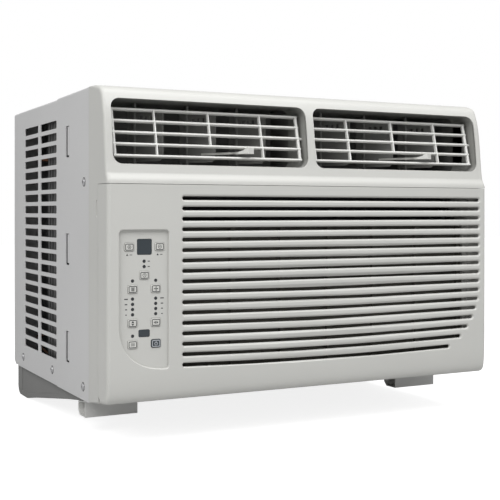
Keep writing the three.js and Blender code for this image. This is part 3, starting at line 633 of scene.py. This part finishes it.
def build_lances():
    """Inside each lanced slot: a bent tab along its rear and a hem along its front."""
    for side, word in SIDES.items():
        parts = []
        for low in LANCE["lows"]:
            high = low + LANCE["height"]
            front = LANCE["front"] + LANCE["tab"]
            tab = rect(front + 2.8, LANCE["back"] - 4.6, low + 2, high - 0.8)
            parts.append((tab, *span(side, HALF - 1.7, HALF - 0.5), "x"))
            hem = rect(front - 2, front + 5, low + 4, high - 4)
            parts.append((hem, *span(side, HALF - 2.2, HALF - 1.25), "x"))
        tabs = prisms(f"lance_tabs_{word}", parts)
        soften(tabs, 0.3, 2)
        finish_piece(tabs, "cabinet_paint")


SCREW_LEVELS = [(4.0, 0.02), (4.0, 0.35), (3.5, 0.6), (3.1, 0.62), (3.0, 1.15), (2.5, 1.45),
                (1.4, 1.6)]              # radius and rise: three washer levels, then the head


def screw_head(name, side, base, y, z):
    rings = []
    for index, (radius, rise) in enumerate(SCREW_LEVELS):
        ring = []
        for k in range(24):
            angle = math.radians(15 * k)
            reach = radius * (1.0 if index < 3 else 1 - 0.055 * (1 - math.cos(6 * angle)) / 2)
            ring.append(place(side * (base + rise), y + reach * math.cos(angle),
                              z + reach * math.sin(angle)))
        rings.append(ring)
    return skin(name, rings)


def build_screws():
    """Domed hexagonal screws with a washer face and a cross recess, each on a black ring of painted
    shade.
    """
    for side, word in SIDES.items():
        for number, (y, z) in enumerate(SCREWS, 1):
            base = HALF - (0 if y < STEP_Y else STEP_IN)
            head = screw_head(f"side_screw_{word}_{number}", side, base, y, z)
            for reach, rise in ((1.8, 0.35), (0.35, 1.8)):
                cross = rect(y - reach, y + reach, z - rise, z + rise)
                cut(head, tool(cross, *span(side, base + 0.9, base + 3), "x"))
            shank = circle(y, z, 1.7, 12)
            add(head, tool(shank, *span(side, base - 4.6, base + 0.3), "x"))
            finish_piece(head, "screw_steel", f"screw_{word}_{number}", angle=35)
            # Painted shade: a thin black disc under each head stands in for the shade round the
            # screw.
            shadow_ring = prism(f"screw_shadow_ring_{word}_{number}", circle(y, z, 4.9, 32),
                         *span(side, base - 0.3, base + 0.09), "x")
            finish_piece(shadow_ring, "cabinet_paint", look="compressor_black")


# ---- Base pan and feet ----

PAN_SLOPE = [(62, -6), (152, -18), (280, -37.5), (323, -45)]
PAN_HALF = 229
PAN_SHEET = 1.5
PAN_RIM = 9
SUNK = [(176, -9.5), (346, -9.5), (346, -38.5), (318, -38.5), (278, -31.5), (196, -19.5),
        (176, -14)]


def pan_under(y):
    """The height of the pan's underside."""
    for (y0, z0), (y1, z1) in zip(PAN_SLOPE, PAN_SLOPE[1:]):
        if y <= y1:
            return z0 + (y - y0) / (y1 - y0) * (z1 - z0)
    return -PAN_DROP


def on_pan_side(edge):
    points = [millimetres(v.co) for v in edge.verts]
    return all(abs(abs(x) - PAN_HALF) < 0.1 and z < -4 for x, _, z in points)


def build_pan():
    outline = [*PAN_SLOPE] + arc(REAR_Y - 12, -33, 12, -90, 0, 8)
    outline += [(REAR_Y, -6.3), (REAR_Y - 2, -6.3), (REAR_Y - 2, 4), (62, 4)]
    made = prism("pan", outline, -PAN_HALF, PAN_HALF, "x")
    bevel_where(made, on_pan_side, 1.3, 3)
    hollow = inset(outline, PAN_SHEET)
    hollow[-2:] = [(y, PAN_RIM) for y, _ in hollow[-2:]]
    cut(made, tool(hollow, -PAN_HALF + PAN_SHEET, PAN_HALF - PAN_SHEET, "x"))
    for side in SIDES:
        cut(made, tool(SUNK, *span(side, PAN_HALF - 0.85, PAN_HALF + 2), "x"))
    weld(made)
    soften(made, 0.55, 2)
    finish_piece(made, "pan_steel", "base_pan")


def build_feet():
    outline = [(91, -28), (110, -28), (115, -23), (115, pan_under(115) - 0.3),
               (91, pan_under(91) - 0.3)]
    for side, word in SIDES.items():
        low, high = span(side, 169, 228)
        made = prism(f"bracket_foot_{word}", outline, low, high, "x")
        cut(made, tool(inset(outline, PAN_SHEET), low - 1, high + 1, "x"))
        bevel_where(made, lambda edge: edge.calc_face_angle(0) > 0.6, 0.5, 2)
        finish_piece(made, "pan_steel", f"foot_{word}", look="foot_zinc", angle=35)


# ---- Louvers, vanes, levers and link bars ----

OPENING_CENTRE = (OPENING["inner"] + OPENING["outer"]) / 2
LOUVER = {"y": 23, "z": 269, "lean": 14, "bars": 5, "pitch": 12.2, "bar": 1.9, "depth": 7,
          "end": 3}
LOUVER_REACH = (224 - 9) / 2
VANE = {"y": 80, "pitch": 60.7, "front": 38, "rear": 10, "thick": 1.6, "low": 243, "high": 297,
        "swing": 30}
CRANK = 8
LEVER = {"length": 84, "low": 250.4, "thick": 2.4, "width": 4.6, "paddle": 6, "top": 257.5}


def turned(made, pivot, axis, degrees):
    """Turns a mesh about a line through a point given in millimetres."""
    centre = place(*pivot)
    turn = Matrix.Rotation(math.radians(degrees), 4, axis)
    made.data.transform(Matrix.Translation(centre) @ turn @ Matrix.Translation(-centre))
    return made


def build_louver(side):
    word = SIDES[side]
    centre = side * OPENING_CENTRE
    y, z = LOUVER["y"], LOUVER["z"]
    top = (LOUVER["bars"] - 1) * LOUVER["pitch"] / 2
    half = LOUVER["depth"] / 2
    thin = LOUVER["bar"] / 2
    upper = [(-half, 0.55), (-half + 0.4, 1.0), (-half + 1.4, thin), (half - 0.4, thin * 0.6),
             (half, 0.3)]
    bar = [(a, -b) for a, b in upper] + upper[::-1]
    parts = []
    ends = (centre - LOUVER_REACH, centre + LOUVER_REACH)
    for i in range(LOUVER["bars"]):
        level = z + top - i * LOUVER["pitch"]
        parts.append(([(y + a, level + b) for a, b in bar], *ends, "x"))
    grid = prisms(f"louver_grid_{word}", parts)
    stop = top - (LOUVER["bars"] - 2) * LOUVER["pitch"]
    edge = LOUVER_REACH - LOUVER["end"] / 2
    posts = [(-edge, LOUVER["end"], -top - thin), (edge, LOUVER["end"], -top - thin),
             (-VANE["pitch"], LOUVER["bar"], -top), (VANE["pitch"], LOUVER["bar"], -top),
             (0, LOUVER["bar"], stop)]
    for x, width, low in posts:
        w, at = width / 2, centre + x
        outline = [(at - 0.5, y - half), (at + 0.5, y - half), (at + w, y - half + 1.2),
                   (at + w * 0.6, y + half * 0.3), (at - w * 0.6, y + half * 0.3),
                   (at - w, y - half + 1.2)]
        high = top + thin if abs(x) > VANE["pitch"] + 1 else top
        add(grid, tool(outline, z + low, z + high, "z"))
    pin_end = (OPENING["outer"] - OPENING["inner"]) / 2 + 1.2
    for a, b in ((-pin_end, -LOUVER_REACH + 1), (LOUVER_REACH - 1, pin_end)):
        add(grid, tool(circle(y, z, 1.5, 16), centre + a, centre + b, "x"))
    weld(grid)
    soften(grid, 0.25, 2, 45)
    turned(grid, (centre, y, z), "X", -LOUVER["lean"])
    # The louvers are bezel plastic; their lighter look is painted light.
    finish_piece(grid, "bezel_plastic", f"{word}_louver", body=f"{word}_louver_frame",
                 look="louver_painted_light")


def build_vanes(side):
    word = SIDES[side]
    centre = side * OPENING_CENTRE
    for i, letter in enumerate("abc"):
        x = centre + (i - 1) * VANE["pitch"]
        y, t = VANE["y"], VANE["thick"] / 2
        front, rear, low, high = y - VANE["front"], y + VANE["rear"], VANE["low"], VANE["high"]
        blade_side = [(front + 4, low), (rear, low), (rear, high), (front + 4, high),
                      (front, high - 4), (front, low + 4)]
        blade = prism(f"air_vane_{word}_{letter}", blade_side, x - t, x + t, "x")
        extra = [(circle(x, y, 1.5, 16), 233.8, 305.2, "z"), (circle(x, y, 2.3, 18), 242, 298, "z"),
                 (circle(x, y + CRANK, 1, 12), 237.8, 245, "z")]
        extra += [(rect(front + 3, rear - 1, z - 0.6, z + 0.6), x - t - 0.8, x + t + 0.8, "x")
                  for z in (246.5, 270, 293.5)]
        for part in extra:
            add(blade, tool(*part))
        for k in range(3):
            notch = rect(y - 24 + 7 * k, y - 20.5 + 7 * k, 285.5, 291)
            cut(blade, tool(notch, x - 5, x + 5, "x"))
        weld(blade)
        soften(blade, 0.25, 1, 45)
        turned(blade, (x, y, 0), "Z", VANE["swing"])
        finish_piece(blade, "vane_grey", f"{word}_vane_{letter}", body=f"{word}_swing_{letter}")


def build_lever(side):
    """The middle vane's lever: a tapering arm that ends in a raised thumb paddle."""
    word = SIDES[side]
    x, y = side * OPENING_CENTRE, VANE["y"]
    tip, low, top = y - LEVER["length"], LEVER["low"], LEVER["low"] + LEVER["thick"]
    arm = [(x - 2.3, tip + 3), (x + 2.3, tip + 3), (x + 1.5, y - 20), (x - 1.5, y - 20)]
    made = prism(f"vane_lever_{word}", arm, low, top, "z")
    crest, foot = LEVER["top"], tip + LEVER["paddle"] + 7
    paddle = smooth([(foot, top), (tip + 7, top + 1.4), (tip + 3, crest - 0.4),
                     (tip + 0.6, crest)], 4)
    side_view = [(tip, low), (foot, low), *paddle, (tip, crest - 0.6)]
    add(made, tool(side_view, x - 5, x + 5, "x"))
    slack = VANE["thick"] / 2 + 0.3
    notch = rect(x - slack, x + slack, y - VANE["front"] - 0.3, y)
    cut(made, tool(notch, low - 1, top + 1, "z"))
    weld(made)
    soften(made, 0.5, 3)
    turned(made, (x, y, 0), "Z", VANE["swing"])
    finish_piece(made, "lever_white", f"{word}_vane_lever", body=f"{word}_swing_b", angle=45)


# ---- Control panel ----

FASCIA = {"front": 3.2, "back": 5, "outline": (-229, -163, 24, 180)}
KEY = (10, 8, 1.4)                       # width, height, corner
KEY_FRONT, FLANGE, INNER_BACK = 2.4, 5.3, 6.3
LENS_FRONT = 3.0
PRINT = (3.13, 3.3, "y")
BUTTONS = {
    "temp_up": (-211.4, 154.8), "temp_down": (-179.2, 154.8), "timer": (-195.5, 126.6),
    "sleep": (-207.8, 113), "fan": (-183.2, 113), "mode": (-207.8, 79.4), "swing": (-183.2, 79.4),
    "filter": (-207.8, 58.4), "power": (-183.2, 58.4),
}
DISPLAY = (-195.3, 154.8, 15.2, 15.4)
IR_WINDOW = (-195.6, 69, 11.5, 7)
LEDS = [(-195.6, 140.5), (-195.6, 135.2), (-207.8, 121.2), (-183.3, 121.2), (-207.8, 66.8)]
LEDS += [(x, z) for x in (-207.8, -183.3) for z in (103.4, 98.2, 93.1, 87.9)]


def around(x, z, width, height, radius, grow=0.0):
    w, h = width / 2 + grow, height / 2 + grow
    return rounded(x - w, x + w, z - h, z + h, radius + grow, 4)


def build_fascia():
    made = prism("fascia", rounded(*FASCIA["outline"], 3, 4), FASCIA["front"], FASCIA["back"], "y")
    holes = [around(x, z, *KEY, 0.35) for x, z in BUTTONS.values()]
    holes += [around(x, z, w, h, 1.2, 0.3) for x, z, w, h in (DISPLAY, IR_WINDOW)]
    holes += [circle(x, z, 1.75, 18) for x, z in LEDS]
    cut(made, prisms("tool", [(outline, 2, 6, "y") for outline in holes]))
    weld(made)
    soften(made, 0.2, 2)
    finish_piece(made, "bezel_plastic", "control_panel", angle=35)


def hoop(outer, inner, low, high):
    """A thin raised ring between two outlines."""
    return cut(tool(outer, low, high, "y"), tool(inner, low - 1, high + 1, "y"))


STRIPES = (-1.5, -0.5, 0.5, 1.5)
SYMBOLS = {                              # no lettering: outlines, then rings (z, radius, line)
    "temp_up": ([rect(-1, 1, -0.22, 0.22), rect(-0.22, 0.22, -1, 1)], [(0, 1.9, 0.45)]),
    "temp_down": ([rect(-1, 1, -0.22, 0.22)], [(0, 1.9, 0.45)]),
    "timer": ([rect(-0.2, 0.2, -0.1, 1.3), rect(-0.1, 1, -0.2, 0.2)], [(0, 2, 0.45)]),
    "sleep": ([rect(-1.7, 1.7, d - 0.3, d + 0.3) for d in STRIPES], []),
    "fan": ([rect(-0.45, 0.45, 0.9, 2.2), rect(-0.45, 0.45, -2.2, -0.9),
             rect(0.9, 2.2, -0.45, 0.45), rect(-2.2, -0.9, -0.45, 0.45)], [(0, 0.75, 0.5)]),
    "mode": ([[(-1.5, 0.4), (1.5, 0.4), (0, 2.4)], [(1.5, -0.4), (-1.5, -0.4), (0, -2.4)]], []),
    "swing": ([[(-0.4, -1.5), (-0.4, 1.5), (-2.4, 0)], [(0.4, 1.5), (0.4, -1.5), (2.4, 0)]], []),
    "filter": ([rect(d - 0.2, d + 0.2, -1.5, 1.5) for d in STRIPES], []),
    "power": ([rect(-0.28, 0.28, 0, 2.3)], [(-0.2, 1.8, 0.45)]),
}


def build_buttons():
    low, high = KEY_FRONT - 0.06, KEY_FRONT + 0.2
    for kind, (x, z) in BUTTONS.items():
        dark = kind == "power"
        slot = "dark_window" if dark else "button_grey"
        cap = prism(f"key_cap_{kind}", around(x, z, *KEY), KEY_FRONT, INNER_BACK, "y")
        add(cap, tool(around(x, z, 12.6, 10.6, 1.2), FLANGE, INNER_BACK, "y"))
        bevel_where(cap, ahead_of(KEY_FRONT + 0.01), 0.5, 3)
        finish_piece(cap, slot, f"button_{kind}", body=f"key_{kind}")

        ink = hoop(around(x, z, 8.6, 6.6, 1.2), around(x, z, 8.6, 6.6, 1.2, -0.72), low, high)
        ink.name = f"key_print_{kind}"
        outlines, rings = SYMBOLS[kind]
        for outline in outlines:
            add(ink, tool([(x + a, z + b) for a, b in outline], low, high, "y"))
        for rise, radius, line in rings:
            add(ink, hoop(circle(x, z + rise, radius, 20), circle(x, z + rise, radius - line, 20),
                          low, high))
        finish_piece(ink, slot, body=f"key_{kind}", look="print_light" if dark else "print_ink")


def build_windows():
    for name, node, (x, z, w, h), lip in (("display_window", "display_lens", DISPLAY, 1.5),
                                          ("sensor_window", "ir_window", IR_WINDOW, 0.7)):
        made = prism(name, around(x, z, w, h, 1.2), LENS_FRONT, INNER_BACK, "y")
        flange = around(x, z, w + 2 * lip - 0.2, h + 2 * lip - 0.2, 1.2)
        add(made, tool(flange, FLANGE, INNER_BACK, "y"))
        bevel_where(made, ahead_of(LENS_FRONT + 0.02), 0.35, 2)
        finish_piece(made, "dark_window", node)
    made = prisms("indicator_dots", [(circle(x, z, 1.7, 20), 3.12, 4.6, "y") for x, z in LEDS])
    soften(made, 0.2, 2, 50)
    finish_piece(made, "dark_window", look="print_ink")


def build_legend():
    """Small plain marks beside the lamps and under the temperature buttons."""
    marks = [rect(x - size, x + size, z - 0.5, z + 0.5)
             for z, size in ((103.4, 1.9), (98.2, 1.3), (93.1, 1.0), (87.9, 0.7))
             for x in (-214.6, -176.6)]
    for x in (-211.4, -179.2):
        marks.append([(x - 3.2, 146.2), (x - 1.0, 146.2), (x - 2.1, 148.4)])
        marks.append(rect(x + 0.6, x + 3.2, 146.7, 147.3))
    marks += [rect(-191.8, -189.6, z - 0.45, z + 0.45) for z in (140.5, 135.2)]
    made = prisms("panel_marks", [(outline, *PRINT) for outline in marks])
    finish_piece(made, "bezel_plastic", look="print_ink")


def build_link_bar(side):
    """The strip that joins three vanes, with a rounded slot for each vane's crank pin."""
    word = SIDES[side]
    swing = math.radians(VANE["swing"])
    centre = side * OPENING_CENTRE - CRANK * math.sin(swing)
    near, far = CRANK * math.cos(swing) - 1.4, CRANK + 1.4
    end, y = VANE["pitch"] + 6, VANE["y"]
    strip = rounded(centre - end, centre + end, y + 2.6, y + far + 2.4, 2.5, 4)
    made = prism(f"vane_link_{word}", strip, 238.6, 240.2, "z")
    slots = [(rounded(centre + d - 1.4, centre + d + 1.4, y + near, y + far, 1.3, 4), 237, 242, "z")
             for d in (-VANE["pitch"], 0, VANE["pitch"])]
    cut(made, prisms("tool", slots))
    finish_piece(made, "vane_grey", f"{word}_link_bar", body=f"{word}_link")


# ---- Coils, compressor, fans and lines ----

AXLE = (45, 125)
BORE = 4.4
OUTDOOR_COIL = ((-200, 222), (330, 358), (-30, 302))
INDOOR_COIL = ((-148, 224), (60, 94), (4, 206))
COIL_END = 9                             # the bends' room at a coil's right end
FIN_PITCH = 2.3
COMPRESSOR = {"x": -150, "y": 252, "radius": 52, "high": 132}
MOTOR = {"front": 186, "back": 238, "radius": 44}


def tube(name, points, radius, steps=12, bevel=3):
    """A round tube along a smooth path, as a mesh."""
    curve = bpy.data.curves.new(name, "CURVE")
    curve.dimensions = "3D"
    curve.bevel_depth = radius * MM
    curve.bevel_resolution = bevel
    curve.use_fill_caps = True
    curve.resolution_u = steps
    spline = curve.splines.new("BEZIER")
    spline.bezier_points.add(len(points) - 1)
    for knot, point in zip(spline.bezier_points, points):
        knot.co = place(*point)
        knot.handle_left_type = knot.handle_right_type = "AUTO"
    holder = link(name, curve)
    graph = bpy.context.evaluated_depsgraph_get()
    mesh = bpy.data.meshes.new_from_object(holder.evaluated_get(graph))
    bpy.data.objects.remove(holder)
    return link(name, mesh)


def build_coil(name, node, x, y, z, rows):
    """A stack of thin upright fins between two end plates, crossed by copper tubes."""
    right = x[1] - COIL_END
    plates = [block((x[0], x[0] + 1.4), y, z), block((right - 0.4, right + 1), y, z)]
    count = int((right - x[0]) / FIN_PITCH)
    for i in range(1, count):
        at = x[0] + i * (right - x[0]) / count
        wave = 0.5 if i % 2 else 0
        plates.append(block((at - 0.18, at + 0.18), (y[0] + 0.4 + wave, y[1] - 0.4 - wave),
                            (z[0] + 1, z[1] - 1)))
    plates += [block((right, x[1]), (y[1] - 1.2, y[1]), z),
               block((right, x[1]), (y[0], y[0] + 1.2), z),
               block(x, (y[0] + 1, y[1] - 1), (z[1] - 0.9, z[1]))]
    # The fins' near-black colour is painted shade.
    finish_piece(prisms(name, plates), "coil_fins", node, angle=None)
    depths = [y[0] + (y[1] - y[0]) * k for k in (0.28, 0.72)]
    step = (z[1] - z[0]) / rows
    levels = [z[0] + (i + 0.5) * step for i in range(rows)]
    tubes = prisms(f"{name}_tubes", [(circle(at, level, 3.4, 12), x[0] + 0.4, right + 3, "x")
                                     for level in levels for at in depths])
    finish_piece(tubes, "copper")
    root, tip = right + 2, x[1] - 3.8
    bends = [tube("tool", [(root, at, level), (tip, at, level + step * 0.25),
                           (tip, at, level + step * 0.75), (root, at, level + step)], 3.3, 5, 2)
             for level in levels[:-1:2] for at in depths]
    join_into(f"{name}_bends", bends, "copper")


def join_into(name, parts, slot, *nodes, body="chassis"):
    """Several meshes as one finished piece."""
    bm = bmesh.new()
    for part in parts:
        bm.from_mesh(part.data)
        bpy.data.objects.remove(part)
    finish_piece(from_bmesh(name, bm), slot, *nodes, body=body)


def lathe(name, profile, centre, axis, steps=40):
    """A profile of radius and height turned about an upright or a front-to-back line."""
    rings = []
    for radius, height in profile:
        ring = []
        for k in range(steps):
            angle = 2 * math.pi * k / steps
            a, b = centre[0] + radius * math.cos(angle), centre[1] + radius * math.sin(angle)
            ring.append(place(a, b, height) if axis == "z" else place(a, height, b))
        rings.append(ring)
    return skin(name, rings)


def bore(made, low, high):
    """Drills the shaft's hole along the axle."""
    return cut(made, tool(circle(*AXLE, BORE, 20), low, high, "y"))


def build_compressor():
    x, y, radius, high = COMPRESSOR.values()
    profile = [(radius - 12, -18), (radius - 5, -16.5), (radius - 1.5, -12), (radius, -6),
               (radius, 62), (radius, 62.6), (radius, 66.4), (radius - 0.6, 67),
               (radius - 0.6, 104), (radius - 3, 113), (radius - 9, 122), (radius - 20, 128.5),
               (radius - 32, 131.4), (4, high)]
    parts = [lathe("tool", profile, (x, y), "z")]
    for degrees in (90, 210, 330):
        angle = math.radians(degrees)
        fx, fy = x + 42 * math.cos(angle), y + 42 * math.sin(angle)
        floor = pan_under(fy - 6) + 2.1
        foot = [(6, floor), (6, floor + 2), (4.6, floor + 3), (4.6, floor + 6), (6, floor + 7),
                (6, -14)]
        parts.append(lathe("tool", foot, (fx, fy), "z", 20))
    join_into("compressor_shell", parts, "compressor_black", "compressor")


def build_motor():
    front, back, radius = MOTOR.values()
    profile = [(17.4, front), (18, front + 0.6), (18, front + 6), (radius - 5, front + 6),
               (radius - 1, front + 9), (radius, front + 13), (radius, 210), (radius - 0.8, 210.4),
               (radius - 0.8, 213.6), (radius, 214), (radius, back - 13), (radius - 1, back - 9),
               (radius - 5, back - 6), (18, back - 6), (18, back - 0.6), (17.4, back)]
    body = bore(lathe("motor_body", profile, AXLE, "y"), front - 2, back + 2)
    finish_piece(body, "inner_zinc", "fan_motor")


FAN_MIDDLE, FAN_BLADES = 278, 5
BLADE_THICK, CAMBER = 2.0, 3.2
BLADE_STATIONS = [(21, 26, 0, 38), (45, 44, 3, 33), (75, 60, 6, 27), (100, 66, 9, 22),
                  (111, 62, 11, 20)]     # radius, chord, sweep and pitch
WHEEL_VANES = 44
WHEEL = {"front": 109, "back": 159, "inner": 64, "reach": 12.5, "outer": 78}


def fan_blade(turn):
    """Chord sections from hub to tip, each with its own sweep and pitch."""
    steps = [k / 6 for k in range(7)]
    loops = []
    for radius, chord, sweep, pitch in BLADE_STATIONS:
        loop = []
        for face, s in [(-1, s) for s in steps] + [(1, s) for s in steps[::-1]]:
            along = (s - 0.5) * chord
            arch = 1 - (2 * s - 1) ** 2
            body = BLADE_THICK * (0.25 + 0.75 * arch) / 2
            lift = math.sin(math.radians(pitch)) * along + CAMBER * arch + face * body
            angle = turn + math.radians(sweep) + math.cos(math.radians(pitch)) * along / radius
            loop.append(place(AXLE[0] + radius * math.cos(angle), FAN_MIDDLE + lift,
                              AXLE[1] + radius * math.sin(angle)))
        loops.append(loop)
    return loops


def wheel_vane(turn):
    """One thin curved vane of the indoor wheel."""
    curve = [(WHEEL["inner"] + WHEEL["reach"] * s / 4, turn + 0.10 * math.sin(s / 4 * 1.6))
             for s in range(5)]
    section = [(r, a - 0.008) for r, a in curve] + [(r, a + 0.008) for r, a in curve[::-1]]
    return [[place(AXLE[0] + r * math.cos(a), y, AXLE[1] + r * math.sin(a)) for r, a in section]
            for y in (WHEEL["front"], WHEEL["back"])]


def around_axle(shape, count):
    bm = bmesh.new()
    for k in range(count):
        rings_to_bmesh(bm, shape(2 * math.pi * k / count))
    return from_bmesh("tool", bm)


def build_fans():
    hub = lathe("tool", [(22, 268), (24, 269), (24, 288), (22.5, 290), (12, 290)], AXLE, "y")
    rim = lathe("tool", [(114, 274), (114, 284)], AXLE, "y", 64)
    cut(rim, lathe("tool", [(111, 270), (111, 290)], AXLE, "y", 64))
    join_into("outdoor_fan", [around_axle(fan_blade, FAN_BLADES), bore(hub, 262, 296), rim],
              "fan_black", "condenser_fan", body="rotor")

    outer, back = WHEEL["outer"], WHEEL["back"]
    disc = lathe("tool", [(outer - 0.4, back - 1), (outer, back - 0.6), (outer, back + 1),
                          (11, back + 1)], AXLE, "y", 64)
    ring = lathe("tool", [(outer, 108), (outer, 110)], AXLE, "y", 64)
    cut(ring, lathe("tool", [(72, 106), (72, 112)], AXLE, "y", 64))
    hub = lathe("tool", [(10.4, 146), (11, 146.6), (11, back)], AXLE, "y", 32)
    join_into("indoor_wheel", [around_axle(wheel_vane, WHEEL_VANES), bore(disc, 100, 170), ring,
                               bore(hub, 100, 170)], "fan_black", "blower_wheel", body="rotor")


def build_lines():
    """The refrigerant lines, on the solids' own routes."""
    angle = math.radians(250)
    x, y, radius, high = COMPRESSOR.values()
    left, depth = OUTDOOR_COIL[0][0], sum(OUTDOOR_COIL[1]) / 2

    def join(reach):
        return (x + reach * math.cos(angle), y + reach * math.sin(angle), 70)

    routes = {
        "suction_line": (4.5, [(-149, 80, 45), (-168, 82, 45), (-180, 110, 45), (-180, 173, 45),
                               (-179, 190, 58), join(radius + 5), join(radius + 0.8)]),
        "discharge_line": (3, [(x, y, high + 0.6), (x, y, high + 20), (x - 6, y + 20, high + 80),
                               (x - 40, y + 66, high + 120), (left - 14, depth - 8, high + 126),
                               (left - 8, depth, high + 126), (left - 0.8, depth, high + 126)]),
        "capillary_tube": (1.6, [(left - 0.8, depth, 30), (left - 8, depth, 30),
                                 (left - 14, depth - 20, 26), (-216, 250, 16), (-208, 200, 15),
                                 (-200, 173, 15), (-192, 130, 15), (-165, 78, 20),
                                 (-148.8, 76, 20)]),
    }
    for node, (size, points) in routes.items():
        made = tube(f"pipe_{node}", points, size)
        finish_piece(made, "copper", node, angle=50)


def build_baffle():
    """Upright ribs on the bulkhead's side flanges, seen through the side vents."""
    parts = [(rect(*span(side, 227.1, 228.2), y, y + width), -10, 300, "z")
             for side in SIDES for y, width in ((186, 3), (199, 2), (213, 3.4), (222, 1.6))]
    made = prisms("flange_ribs", parts)
    soften(made, 0.4, 2)
    finish_piece(made, "inner_zinc")


def build_seals():
    """Foam along the indoor coil's top edge, drawn black as painted shade, and the filter's end cap
    that closes its slot.
    """
    strip = prisms("coil_top_seal", [block(INDOOR_COIL[0], (63, 91), (206.1, 222))])
    soften(strip, 0.8, 2)
    # Painted shade: the pale foam takes the fans' black.
    finish_piece(strip, "foam_white", look="fan_black")
    cap = prism("filter_end_cap", rounded(32.3, 39.7, 12.6, 179.4, 1.6, 4), HALF - 9, HALF - 0.9,
                "x")
    soften(cap, 0.5, 2)
    finish_piece(cap, "filter_mesh", body="filter", look="bezel_plastic")


def dress_kept_nodes():
    """Gives each solid that stays in view the material of its slot."""
    slots = {part["node"]: part["material_slot"] for part in frame["record"]["subparts"]}
    for name, made in frame["nodes"].items():
        made.data.materials.clear()
        made.data.materials.append(MATERIALS[slots[name]])


# ---- Camera, light and floor ----

CAMERA = {"spot": (-560.0, -935.2, 189.7), "turn": -27.21, "lens": 72.66, "shift": -0.0767}
ROOM_LIGHT = 0.38                        # on the object; the camera sees the room as white
FLOOR_GLOW = 0.85                        # for the camera only
LIGHTS = [("side", (-1700, -800, 1500), 1.4, 24), ("top", (300, -700, 1900), 2.0, 38)]


def build_stage():
    camera = bpy.data.cameras.new("camera")
    camera.sensor_width = 36
    camera.lens = CAMERA["lens"]
    camera.shift_y = CAMERA["shift"]
    camera.clip_end = 50
    shot = link("camera", camera)
    shot.location = place(*CAMERA["spot"])
    shot.rotation_euler = (math.radians(90), 0, math.radians(CAMERA["turn"]))
    bpy.context.scene.camera = shot

    world = bpy.data.worlds.new("studio")
    world.use_nodes = True
    nodes, links = world.node_tree.nodes, world.node_tree.links
    nodes["Background"].inputs["Color"].default_value = (1, 1, 1, 1)
    seen = nodes.new("ShaderNodeLightPath")
    level = nodes.new("ShaderNodeMapRange")
    level.inputs["To Min"].default_value = ROOM_LIGHT
    level.inputs["To Max"].default_value = 1.0
    links.new(seen.outputs["Is Camera Ray"], level.inputs["Value"])
    links.new(level.outputs["Result"], nodes["Background"].inputs["Strength"])
    bpy.context.scene.world = world
    bpy.context.scene.view_settings.view_transform = "Standard"

    for name, spot, size, power in LIGHTS:
        light = bpy.data.lights.new(name, "AREA")
        light.shape = "DISK"
        light.size = size
        light.energy = power
        lamp = link(name, light)
        lamp.location = place(*spot)
        aim = place(0, 150, 150) - lamp.location
        lamp.rotation_euler = aim.to_track_quat("-Z", "Y").to_euler()

    bm = bmesh.new()
    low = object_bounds()[0].z - 0.0005
    bmesh.ops.create_grid(bm, x_segments=12, y_segments=12, size=6)
    bmesh.ops.translate(bm, verts=bm.verts, vec=(0, 0, low))
    floor = from_bmesh("floor", bm)
    pale = material("floor_white", (0.5, 0.5, 0.5), 0.9, tone=0.005)
    shader = pale.node_tree.nodes["Principled BSDF"]
    shader.inputs["Emission Color"].default_value = (1, 1, 1, 1)
    nodes, links = pale.node_tree.nodes, pale.node_tree.links
    seen = nodes.new("ShaderNodeLightPath")
    glow = nodes.new("ShaderNodeMath")
    glow.operation = "MULTIPLY"
    glow.inputs[1].default_value = FLOOR_GLOW
    links.new(seen.outputs["Is Camera Ray"], glow.inputs[0])
    links.new(glow.outputs[0], shader.inputs["Emission Strength"])
    floor.data.materials.append(pale)


dress_kept_nodes()
build_bezel()
build_grille()
build_cover()
build_lances()
build_screws()
build_pan()
build_feet()
for hand in SIDES:
    build_louver(hand)
    build_vanes(hand)
    build_lever(hand)
    build_link_bar(hand)
build_fascia()
build_buttons()
build_windows()
build_legend()
build_coil("outdoor_coil", "condenser_coil", *OUTDOOR_COIL, 14)
build_coil("indoor_coil", "evaporator_coil", *INDOOR_COIL, 9)
build_compressor()
build_motor()
build_fans()
build_lines()
build_baffle()
build_seals()
build_stage()
